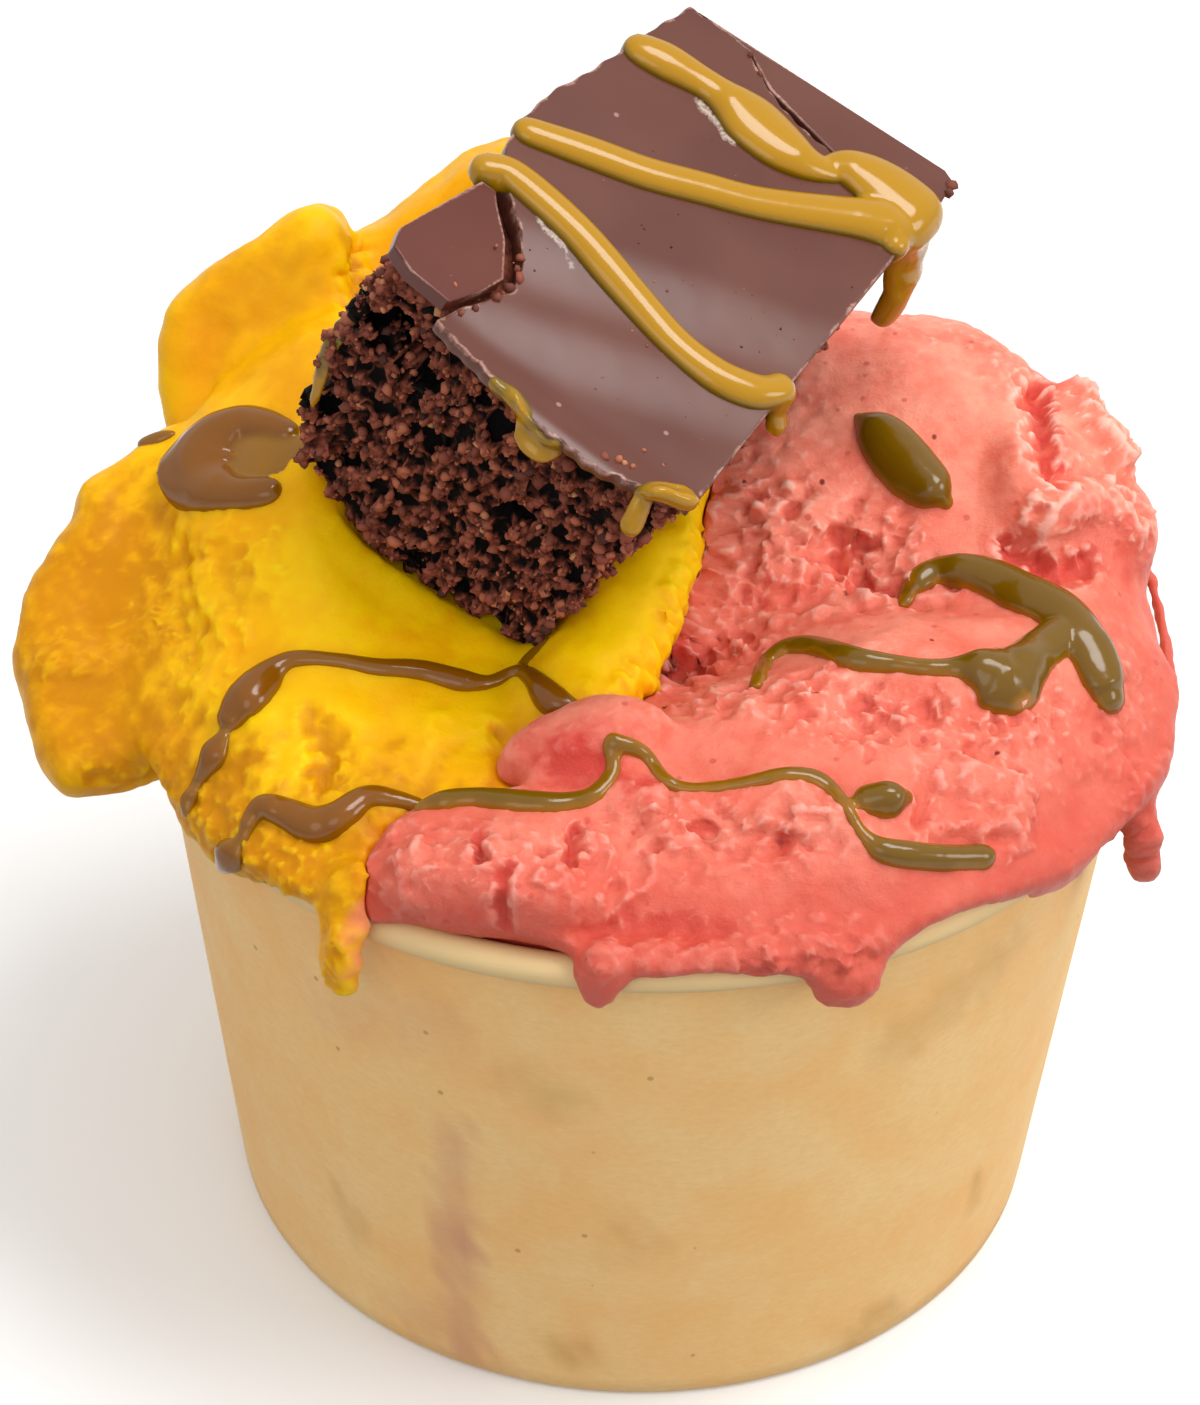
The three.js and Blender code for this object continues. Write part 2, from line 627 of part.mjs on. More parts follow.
const strawberrySauce = [
  [ // goes on from the mango's lower strand
    [-19.3, -34.9, 0.7], [-17.4, -33.9, 0.9], [-14.7, -33.8, 1], [-10.8, -35.2, 1.1],
    [-7.4, -35.3, 0.9], [-4.6, -34.2, 0.8], [-2.6, -31.4, 0.8],
  ],
  [ // along the front crest and down the face
    [-3, -30.4, 0.8], [-0.3, -29.6, 0.7], [1.6, -32.5, 0.7], [8.1, -33.4, 0.7], [12, -32.3, 0.8],
    [14.8, -32.9, 0.8], [18.4, -37.7, 0.8], [20.4, -38.6, 1], [24.3, -38.1, 1.1], [29.3, -35.7, 1.1],
  ],
  [[19.3, -34.6, 1.2], [21.1, -34.2, 1.5], [22.3, -34, 0.8]],
  [[19.5, 12.1, 0.6], [21.5, 10.2, 2], [24, 6.4, 2.4], [26.4, 3.9, 1.9], [27.4, 2.7, 0.7]],
  [ // upper stroke, broad at its end
    [23.3, -6.7, 0.6], [24.9, -4.2, 0.8], [27.9, -3.3, 1.2], [31.6, -4.1, 1.7], [34.8, -6.1, 2],
    [37.9, -8.9, 2.1], [39.7, -12.4, 2.2], [41.4, -16.3, 1.7],
  ],
  [ // thin stroke into the round pool
    [9.7, -20.6, 0.6], [10.7, -15, 0.7], [12.8, -13.2, 0.8], [15.5, -15.6, 0.9], [18.5, -19.4, 0.8],
    [24.6, -20.2, 0.7], [27.2, -19.9, 0.9], [29.8, -19.5, 2.2], [31.8, -19.4, 2.8], [34.3, -15.6, 1.5],
    [37.3, -11.6, 1.4],
  ],
];

// On the glaze and over its edges, as [u, v, w, radius].
const glazeSauce = [
  [
    [3.7, 37.5, 0, 1.1], [6.1, 38.5, 0, 1.2], [9.7, 39.1, 0, 1], [11.9, 39.1, 0, 1.2],
    [15.1, 38.8, 0, 2.1], [18.7, 38.3, 0, 1.9], [21.4, 38.8, 0, 1.2], [23.8, 40.1, 0, 0.8],
  ],
  [
    [1.1, 20.8, 0, 1], [6.8, 23.4, 0, 1.2], [11.4, 25.4, 0, 1.2], [16.1, 28.2, 0, 1.2],
    [20.8, 31, 0, 1.2], [27.5, 36.5, 0, 1.3], [30.5, 38.8, 0, 1.4], [32.4, 37.6, 0, 0.8],
  ],
  [
    [24.6, 40.8, 0, 1], [26.5, 42.1, 0.1, 1.4], [29.3, 43, 0.2, 1.8], [31.8, 42.8, 0.2, 1.9],
    [33.8, 42.8, -1, 1.5], [34.5, 42.8, -4, 1.4], [34.7, 42.6, -8, 1.4], [34.7, 42.3, -11.3, 1.3],
  ],
  [
    [1.2, 14.8, 0, 1.1], [2.6, 15.7, 0, 1.1], [5.9, 15.4, 0, 1.2], [10.3, 14.8, 0, 1.2],
    [14.3, 13.8, 0, 1.2], [18.9, 12.8, 0, 1.2], [23.5, 11.9, 0, 1.2], [27.8, 11.9, 0, 1.3],
    [31.1, 13.2, 0, 1.3], [33.4, 15.2, -0.2, 1.2], [34.4, 15.2, -2, 1.2], [34.5, 15, -4, 1.1],
  ],
  [ // hook on the front edge
    [13.6, -4.3, -0.6, 0.6], [15.4, -4.7, -1, 0.7], [17.2, -4.9, -1.8, 0.9], [18.7, -4.9, -2.9, 1.2],
    [20.2, -4.9, -2.9, 1.2], [20.8, -4.7, -2.2, 0.9],
  ],
  [ // over the near right corner
    [32, -1.4, -0.4, 1], [30.1, -2.7, 0, 0.9], [29, -4.2, -0.2, 0.9], [29.3, -4.9, -1.7, 0.9],
    [29.9, -4.9, -4.2, 1],
  ],
];

function strandOnBlock(points, grow = 0) {
  const placed = points.map(([u, v, w, radius]) => {
    const spot = new THREE.Vector3(u, v, w - strandShape.sink * radius);
    return [...spot.applyMatrix4(blockFrame).toArray(), radius];
  });
  const away = new THREE.Vector3().setFromMatrixColumn(blockFrame, 2);
  return strand(placed, away, grow);
}

// ---- the whole thing

const mainSheetWide = mainSheetSolid(gap);
const [chipWide, stripWide] = [cornerChip, farStrip].map((shape) => fragmentSolid(shape, gap));
const tubWide = tubSolid(gap);
const brownieWide = brownieSolid(gap);

const brownie = mainBody(without(brownieSolid(), [mainSheetWide, chipWide, stripWide]));
const [chip, strip] = [cornerChip, farStrip].map((shape) => (
  mainBody(fragmentSolid(shape).subtract(mainSheetWide))
));
const saucedSheet = union([mainSheetSolid(), ...glazeSauce.map((line) => strandOnBlock(line))]);
const sheet = mainBody(without(saucedSheet, [chipWide, stripWide, brownieWide]));

const strawberryLines = strawberrySauce.map((line) => drape(line, strawberryBody()));
function saucedStrawberry(grow = 0) {
  return union([
    strawberryBody(grow),
    ...strawberryRuns.map((line) => run(line, grow)),
    ...strawberryLines.map((line) => strand(line, upwards, grow)),
  ]);
}
const saucedMango = union([
  mangoBody(),
  ...mangoRuns.map((line) => run(line)),
  ...mangoSauce.map((line) => strand(drape(line, mangoBody()), upwards)),
]);
const strawberry = mainBody(without(saucedStrawberry(), [tubWide, brownieWide]));
const mango = mainBody(without(saucedMango, [saucedStrawberry(gap), tubWide, brownieWide]));

const finishes = {
  kraft: { color: 0xd9ab73, roughness: 0.85 },
  mango: { color: 0xf2b705, roughness: 0.45 },
  strawberry: { color: 0xf07a6c, roughness: 0.5 },
  crumb: { color: 0x4a251d, roughness: 0.95 },
  chocolate: { color: 0x6e4b45, roughness: 0.4 },
};

const pieces = [
  ['cup', tubSolid(), finishes.kraft],
  ['sorbet_mango', mango, finishes.mango],
  ['sorbet_strawberry', strawberry, finishes.strawberry],
  ['brownie', brownie, finishes.crumb],
  ['glaze_main', sheet, finishes.chocolate],
  ['glaze_corner_chip', chip, finishes.chocolate],
  ['glaze_far_strip', strip, finishes.chocolate],
];

const cupOfSorbet = new THREE.Group();
cupOfSorbet.position.set(-footprintCentre[0], -footprintCentre[1], 0);
for (const [name, solid, finish] of pieces) {
  const mesh = new THREE.Mesh(toGeometry(solid), new THREE.MeshStandardMaterial(finish));
  mesh.name = name;
  cupOfSorbet.add(mesh);
}

export default cupOfSorbet;
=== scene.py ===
import math

import bpy
import numpy as np
from mathutils import Matrix, Vector
from mathutils.bvhtree import BVHTree


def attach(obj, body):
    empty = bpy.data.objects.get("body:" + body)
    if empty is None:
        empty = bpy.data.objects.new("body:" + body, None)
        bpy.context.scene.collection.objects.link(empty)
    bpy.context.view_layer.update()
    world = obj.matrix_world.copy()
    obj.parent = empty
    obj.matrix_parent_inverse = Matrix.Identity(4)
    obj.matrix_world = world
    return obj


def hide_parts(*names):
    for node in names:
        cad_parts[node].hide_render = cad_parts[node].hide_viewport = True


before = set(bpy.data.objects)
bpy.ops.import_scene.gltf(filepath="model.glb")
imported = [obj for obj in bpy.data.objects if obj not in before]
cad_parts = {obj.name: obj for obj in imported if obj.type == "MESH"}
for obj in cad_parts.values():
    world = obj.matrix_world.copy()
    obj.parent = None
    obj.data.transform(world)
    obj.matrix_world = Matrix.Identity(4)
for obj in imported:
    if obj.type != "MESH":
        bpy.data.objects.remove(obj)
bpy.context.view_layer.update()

mm = 0.001
tubAxis = Vector((4.2, 1.2, 0)) * mm  # the tub's middle, seen from the frame's origin


# ---- the photograph's camera, and spots of the picture found on a surface

photo = {
    "width": 1200,
    "height": 1405,
    "focalPixels": 4000,
    "elevation": 37.44,  # degrees above the horizon
    "roll": 1.1,
    "distance": 380,
    "aim": (0.09, 1.2, 51.95),
    "sensor": 36,
    "pixelsPerMm": 11.3,  # on the heap
}


def photoAxes():
    tilt, roll = math.radians(photo["elevation"]), math.radians(photo["roll"])
    across = Vector((1, 0, 0))
    upright = Vector((0, math.sin(tilt), math.cos(tilt)))
    right = across * math.cos(roll) + upright * math.sin(roll)
    up = upright * math.cos(roll) - across * math.sin(roll)
    return right, up, Vector((0, -math.cos(tilt), math.sin(tilt)))


photoRight, photoUp, photoBack = photoAxes()
photoPlace = (Vector(photo["aim"]) + photoBack * photo["distance"]) * mm


def addCamera():
    camera = bpy.data.cameras.new("photo_camera")
    camera.sensor_width = photo["sensor"]
    camera.lens = photo["focalPixels"] * photo["sensor"] / photo["height"]
    camera.clip_start, camera.clip_end = 0.01, 20
    holder = bpy.data.objects.new("photo_camera", camera)
    bpy.context.scene.collection.objects.link(holder)
    axes = Matrix((photoRight, photoUp, photoBack)).transposed().to_4x4()
    holder.matrix_world = Matrix.Translation(photoPlace) @ axes
    bpy.context.scene.camera = holder


def photoRay(x, y):
    sideways = (x - photo["width"] / 2) / photo["focalPixels"]
    upwards = (photo["height"] / 2 - y) / photo["focalPixels"]
    return (photoRight * sideways + photoUp * upwards - photoBack).normalized()


def spotOn(tree, x, y):
    hit, normal, _, _ = tree.ray_cast(photoPlace, photoRay(x, y))
    return hit, normal


# ---- meshes

def selectOnly(piece):
    bpy.ops.object.select_all(action="DESELECT")
    piece.select_set(True)
    bpy.context.view_layer.objects.active = piece


# An edit-mode operator on the whole of a piece.
def editWhole(piece, operator, **settings):
    selectOnly(piece)
    bpy.ops.object.mode_set(mode="EDIT")
    bpy.ops.mesh.select_all(action="SELECT")
    operator(**settings)
    bpy.ops.object.mode_set(mode="OBJECT")


def applyModifier(piece, kind, **settings):
    selectOnly(piece)
    modifier = piece.modifiers.new(kind.lower(), kind)
    for name, value in settings.items():
        setattr(modifier, name, value)
    bpy.ops.object.modifier_apply(modifier=modifier.name)


def valuesOf(items, name):
    values = np.empty(len(items), np.float32)
    items.foreach_get(name, values)
    return values


def vectorsOf(items, name):
    vectors = np.empty(len(items) * 3, np.float32)
    items.foreach_get(name, vectors)
    return vectors.reshape(-1, 3).astype(float)


def pointsOf(piece):
    return vectorsOf(piece.data.vertices, "co")


def movePoints(piece, points):
    piece.data.vertices.foreach_set("co", points.astype(np.float32).ravel())
    piece.data.update()


def normalsOf(piece):
    return vectorsOf(piece.data.vertex_normals, "vector")


def treeOf(*pieces):
    points, faces = [], []
    for piece in pieces:
        first = len(points)
        points += [tuple(p) for p in pointsOf(piece)]
        faces += [[first + i for i in polygon.vertices] for polygon in piece.data.polygons]
    return BVHTree.FromPolygons(points, faces)


def meshPiece(name, points, faces):
    mesh = bpy.data.meshes.new(name)
    mesh.from_pydata([tuple(p) for p in points], [], faces)
    mesh.update()
    piece = bpy.data.objects.new(name, mesh)
    bpy.context.scene.collection.objects.link(piece)
    return piece


# A smooth and finer copy of a CAD node, which keeps its form.
def fineCopy(node, name, voxel, smoothing, levels):
    piece = bpy.data.objects.new(name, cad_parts[node].data.copy())
    bpy.context.scene.collection.objects.link(piece)
    piece.data.materials.clear()
    editWhole(piece, bpy.ops.mesh.remove_doubles, threshold=0.01 * mm)
    applyModifier(piece, "REMESH", mode="VOXEL", voxel_size=voxel * mm)
    applyModifier(piece, "SMOOTH", factor=0.5, iterations=smoothing)
    applyModifier(piece, "SUBSURF", levels=levels, render_levels=levels)
    piece.data.shade_smooth()
    return piece


def smoothStep(x, low, high):
    t = np.clip((x - low) / (high - low), 0, 1)
    return t * t * (3 - 2 * t)


def keepValues(piece, name, values):
    attribute = piece.data.attributes.new(name, "FLOAT", "POINT")
    attribute.data.foreach_set("value", values.astype(np.float32))


# Relief finer than the reach of a smoothing: 1 on crests, -1 in hollows.
def reliefOf(piece, iterations, height):
    twin = bpy.data.objects.new("relief_twin", piece.data.copy())
    bpy.context.scene.collection.objects.link(twin)
    applyModifier(twin, "SMOOTH", factor=0.5, iterations=iterations)
    relief = ((pointsOf(piece) - pointsOf(twin)) * normalsOf(piece)).sum(1)
    bpy.data.objects.remove(twin)
    return np.clip(relief / (height * mm), -1, 1)


# ---- strokes of the picture, as lines over a surface

def throughPoints(route, steps):
    knots = np.array(route, float)
    ends = [2 * knots[0] - knots[1], *knots, 2 * knots[-1] - knots[-2]]
    line = []
    for a, b, c, d in zip(ends[:-3], ends[1:-2], ends[2:-1], ends[3:]):
        for i in range(steps):
            t = i / steps
            line.append(0.5 * (2 * b + (c - a) * t + (2 * a - 5 * b + 4 * c - d) * t ** 2
                               + (3 * b - a - 3 * c + d) * t ** 3))
    line.append(knots[-1])
    return np.array(line)


def lineOn(tree, route, steps=4):
    line, normals = [], []
    for x, y, *_ in (throughPoints(route, steps) if len(route) > 1 else route):
        hit, normal = spotOn(tree, x, y)
        if hit:
            line.append(hit)
            normals.append(normal)
    return np.array(line), np.array(normals)


def distanceTo(points, line):
    nearest = np.full(len(points), np.inf)
    for a, b in zip(line, line[1:] if len(line) > 1 else line):
        along = b - a
        t = np.clip(((points - a) @ along) / max(along @ along, 1e-12), 0, 1)
        away = points - a - t[:, None] * along
        nearest = np.minimum(nearest, np.sqrt((away ** 2).sum(1)))
    return nearest


# Smooth unevenness from -1 to 1, in waves of about a length in millimetres.
def uneven(points, length, turn=0.0):
    x, y, z = (points * (2 * math.pi / (length * mm)) + turn).T
    waves = np.sin(x + 1.7 * np.sin(0.6 * y)) + np.sin(0.9 * y + 1.5 * np.sin(0.7 * z))
    return (waves + np.sin(0.8 * z + 1.9 * np.sin(0.5 * x))) / 3


def jittered(points, length, reach):
    moves = [uneven(points, length, turn) for turn in (0.4, 2.1, 4.4)]
    return points + np.stack(moves, 1) * reach * mm


# How near each vertex is to a line: 1 on it, 0 at its width away, with a ragged edge.
def underLine(points, line, width, ragged=0.35):
    reach = (1 + ragged) * width * mm
    near = np.all((points > line.min(0) - reach) & (points < line.max(0) + reach), axis=1)
    rough = jittered(jittered(points[near], 2.6, ragged * width), 1.1, 0.4 * ragged * width)
    values = np.zeros(len(points))
    values[near] = (1 - np.minimum(distanceTo(rough, line) / (width * mm), 1) ** 2) ** 2
    return values


# The same for a stroke of the picture, on the side of the piece that it was cast on.
def underStroke(points, normals, tree, route, width):
    line, facing = lineOn(tree, route)
    if not len(line):
        return np.zeros(len(points))
    return underLine(points, line, width) * np.clip(normals @ facing.mean(0) + 0.6, 0, 1)


# Strokes [*route, width, height] push the surface out, or in where the height is below 0.
def carve(piece, strokes):
    tree, points, normals = treeOf(piece), pointsOf(piece), normalsOf(piece)
    moved = np.zeros(len(points))
    for *route, width, height in strokes:
        moved += height * mm * underStroke(points, normals, tree, route, width)
    movePoints(piece, points + normals * moved[:, None])


def paintStrokes(piece, strokes):
    tree, points, normals = treeOf(piece), pointsOf(piece), normalsOf(piece)
    values = np.zeros(len(points))
    for *route, width, strength in strokes:
        values += strength * underStroke(points, normals, tree, route, width)
    return np.clip(values, 0, 1)


def weighted(piece, name, values):
    group = piece.vertex_groups.new(name=name)
    shades = 24
    level = np.round(np.clip(values, 0, 1) * shades).astype(int)
    for shade in range(1, shades + 1):
        members = np.nonzero(level == shade)[0].tolist()
        if members:
            group.add(members, shade / shades, "REPLACE")


# Fewer triangles where nothing shows, and the rest as it is.
def thinned(piece, hidden, triangles):
    weighted(piece, "hidden", hidden)
    count = sum(len(polygon.vertices) - 2 for polygon in piece.data.polygons)
    applyModifier(piece, "DECIMATE", ratio=min(1, triangles / count), vertex_group="hidden")


# Grain: a texture of a size pushes the surface by a height, where a vertex group says.
def grain(piece, kind, size, height, group, **settings):
    texture = bpy.data.textures.new(f"{piece.name}_{kind.lower()}", kind)
    texture.noise_scale = size * mm
    for name, value in settings.items():
        setattr(texture, name, value)
    applyModifier(piece, "DISPLACE", texture=texture, texture_coords="LOCAL", mid_level=0.5,
                  strength=height * mm, vertex_group=group)


def addGrains(piece, look):
    for kind, size, height, group, settings in look["grains"]:
        grain(piece, kind, size, height, group, **settings)


def keepReliefs(piece, look):
    for name, smoothing, height in look["values"]:
        keepValues(piece, name, reliefOf(piece, smoothing, height))


# ---- materials

def newMaterial(name):
    material = bpy.data.materials.new(name)
    material.use_nodes = True
    return material, material.node_tree, material.node_tree.nodes["Principled BSDF"]


def addNode(tree, kind, inputs=None, **settings):
    node = tree.nodes.new(kind)
    for name, value in settings.items():
        setattr(node, name, value)
    for name, value in (inputs or {}).items():
        if isinstance(value, bpy.types.NodeSocket):
            tree.links.new(value, node.inputs[name])
        else:
            node.inputs[name].default_value = value
    return node


def setShader(tree, shader, **values):
    for name, value in values.items():
        socket = shader.inputs[name.replace("_", " ")]
        if isinstance(value, bpy.types.NodeSocket):
            tree.links.new(value, socket)
        else:
            socket.default_value = value


def colour(hexCode):
    parts = [int(hexCode[i:i + 2], 16) / 255 for i in (0, 2, 4)]
    return (*[p / 12.92 if p <= 0.04045 else ((p + 0.055) / 1.055) ** 2.4 for p in parts], 1)


def blend(tree, share, a, b):
    node = addNode(tree, "ShaderNodeMix", data_type="RGBA", blend_type="MIX")
    for index, value in ((0, share), (6, a), (7, b)):
        if isinstance(value, bpy.types.NodeSocket):
            tree.links.new(value, node.inputs[index])
        else:
            node.inputs[index].default_value = value
    return node.outputs[2]


def ranged(tree, value, low, high, to=(0.0, 1.0)):
    inputs = {"Value": value, "From Min": low, "From Max": high, "To Min": to[0], "To Max": to[1]}
    return addNode(tree, "ShaderNodeMapRange", inputs).outputs["Result"]


def ownValue(tree, name):
    return addNode(tree, "ShaderNodeAttribute", attribute_name=name).outputs["Fac"]


# A base colour turned towards another, where a value (or an attribute) runs from low to high.
def tinted(tree, base, value, low, high, most, hexCode):
    if isinstance(value, str):
        value = ownValue(tree, value)
    return blend(tree, ranged(tree, value, low, high, (0, most)), base, colour(hexCode))


def objectPlace(tree, scale=(1, 1, 1)):
    coordinates = addNode(tree, "ShaderNodeTexCoord").outputs["Object"]
    return addNode(tree, "ShaderNodeMapping", {"Vector": coordinates, "Scale": scale}).outputs[0]


def heightOf(tree, place):
    return addNode(tree, "ShaderNodeSeparateXYZ", {"Vector": place}).outputs["Z"]


# Noise with waves of a size in millimetres.
def noise(tree, place, size, detail=3.0, roughness=0.5):
    inputs = {"Vector": place, "Scale": 1 / (size * mm), "Detail": detail, "Roughness": roughness}
    return addNode(tree, "ShaderNodeTexNoise", inputs).outputs["Fac"]


# Round specks of a size, spread about a spacing apart: 1 inside them.
def specks(tree, place, spacing, size):
    inputs = {"Vector": place, "Scale": 1 / (spacing * mm)}
    away = addNode(tree, "ShaderNodeTexVoronoi", inputs).outputs["Distance"]
    return ranged(tree, away, size / spacing, 0.6 * size / spacing)


def bumped(tree, height, distance, strength=1.0):
    inputs = {"Height": height, "Distance": distance * mm, "Strength": strength}
    return addNode(tree, "ShaderNodeBump", inputs).outputs["Normal"]


def finish(piece, material, node=None):
    piece.data.materials.clear()
    piece.data.materials.append(material)
    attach(piece, "root")
    if node:
        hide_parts(node)
    print(f"{piece.name}: {len(piece.data.polygons)} faces")


# ---- paper tub

tub = {
    "sides": 180,
    "footRadius": 40,
    "skirtThick": 1.6,
    "floorLift": 5.5,
    "floorThick": 1,
    "wallTop": [45.8, 57],  # radius and height where the rolled rim begins
    "wall": 0.8,
    "wallRings": 26,
    "rollCentre": [46.5, 58.5],
    "rollRadius": 1.5,
    "rollSteps": 14,
    "rollTurn": [-0.25, 1.25],  # in half turns: where the roll begins, and how far it goes
    "softEdge": 0.3,  # at the foot
    "floorHole": 1,
    "smoothAngle": 40,
    "paleRim": [57.1, 57.5],  # heights over which the paper turns pale
}


def tubSection():
    footInner = tub["footRadius"] - tub["skirtThick"]
    soft = tub["softEdge"]
    section = [(footInner, tub["floorLift"]), (footInner, 0.2), (footInner + soft, 0)]
    section += [(tub["footRadius"] - soft, 0), (tub["footRadius"], soft)]
    top, height = tub["wallTop"]
    for i in range(1, tub["wallRings"] + 1):
        share = i / tub["wallRings"]
        section.append((tub["footRadius"] + (top - tub["footRadius"]) * share, height * share))
    for i in range(tub["rollSteps"] + 1):
        turn = math.pi * (tub["rollTurn"][0] + tub["rollTurn"][1] * i / tub["rollSteps"])
        section.append((tub["rollCentre"][0] + tub["rollRadius"] * math.cos(turn),
                        tub["rollCentre"][1] + tub["rollRadius"] * math.sin(turn)))
    floorTop = tub["floorLift"] + tub["floorThick"]
    section.append((tub["footRadius"] - tub["wall"], floorTop))
    section.append((tub["floorHole"], floorTop))
    return section


def makeTub():
    section = tubSection()
    bpy.ops.object.select_all(action="DESELECT")
    radius, height = section[0]
    bpy.ops.mesh.primitive_circle_add(vertices=tub["sides"], radius=radius * mm, fill_type="NGON",
                                      location=tubAxis + Vector((0, 0, height * mm)))
    piece = bpy.context.object
    piece.name = "paper_tub"
    bpy.ops.object.transform_apply(location=True)
    bpy.ops.object.mode_set(mode="EDIT")
    bpy.ops.mesh.select_mode(type="EDGE")
    bpy.ops.mesh.select_all(action="SELECT")
    for (r0, z0), (r1, z1) in zip(section, section[1:]):
        bpy.ops.mesh.extrude_edges_move(TRANSFORM_OT_translate={"value": (0, 0, (z1 - z0) * mm)})
        middle = tubAxis + Vector((0, 0, z1 * mm))
        bpy.ops.transform.resize(value=(r1 / r0, r1 / r0, 1), center_override=middle)
    bpy.ops.mesh.edge_face_add()
    bpy.ops.mesh.select_all(action="SELECT")
    bpy.ops.mesh.normals_make_consistent(inside=False)
    bpy.ops.object.mode_set(mode="OBJECT")
    bpy.ops.object.shade_smooth_by_angle(angle=math.radians(tub["smoothAngle"]))
    return piece


# Stains as strokes of the picture: route, width and strength.
tubStains = {
    "pink": [
        [(452, 1130), (456, 1240), 3.2, 0.5], [(456, 1240), (466, 1375), 4, 0.6],
        [(330, 1010), (440, 1030), 6, 0.25], [(420, 1320), (470, 1360), 6, 0.35],
    ],
    "grease": [
        [(560, 1352), (585, 1352), 3, 0.8], [(978, 1176), (976, 1200), 1.6, 0.7],
        [(860, 1330), (885, 1310), 3.6, 0.8], [(900, 1040), (1000, 960), 5, 0.5],
        [(340, 1190), (360, 1230), 3.2, 0.6], [(520, 1080), (560, 1100), 4, 0.5],
        [(620, 1230), (640, 1250), 4, 0.4],
    ],
}


def paperMaterial():
    material, tree, shader = newMaterial("kraft_paper")
    place = objectPlace(tree)
    mottle = noise(tree, place, 9, 4)
    fibres = noise(tree, objectPlace(tree, (1, 1, 2.6)), 1.1, 5, 0.7)
    base = tinted(tree, colour("FFC980"), mottle, 0.35, 0.65, 1, "FFD795")
    base = tinted(tree, base, fibres, 0.3, 0.75, 0.5, "F0B872")
    base = tinted(tree, base, specks(tree, place, 7, 0.35), 0, 1, 0.5, "8A5E34")
    base = tinted(tree, base, "grease", 0, 1, 0.6, "C08A3E")
    base = tinted(tree, base, "pink", 0, 1, 0.75, "CB8670")
    low, high = tub["paleRim"]
    base = tinted(tree, base, heightOf(tree, place), low * mm, high * mm, 1, "EBCB92")
    setShader(tree, shader, Base_Color=base, Roughness=0.62, Specular_IOR_Level=0.35,
              Normal=bumped(tree, fibres, 0.05))
    return material


def dressTub():
    piece = makeTub()
    for name, strokes in tubStains.items():
        keepValues(piece, name, paintStrokes(piece, strokes))
    finish(piece, paperMaterial(), "cup")


# ---- sorbet

sorbetRim = {  # grain near the rim behind: over which heights, and how far back, it sets in
    "heights": [74, 62],
    "away": [18, 32],
    "patches": 17,
    "fade": 4,  # how soon the detail sets in above what lies in the tub
}

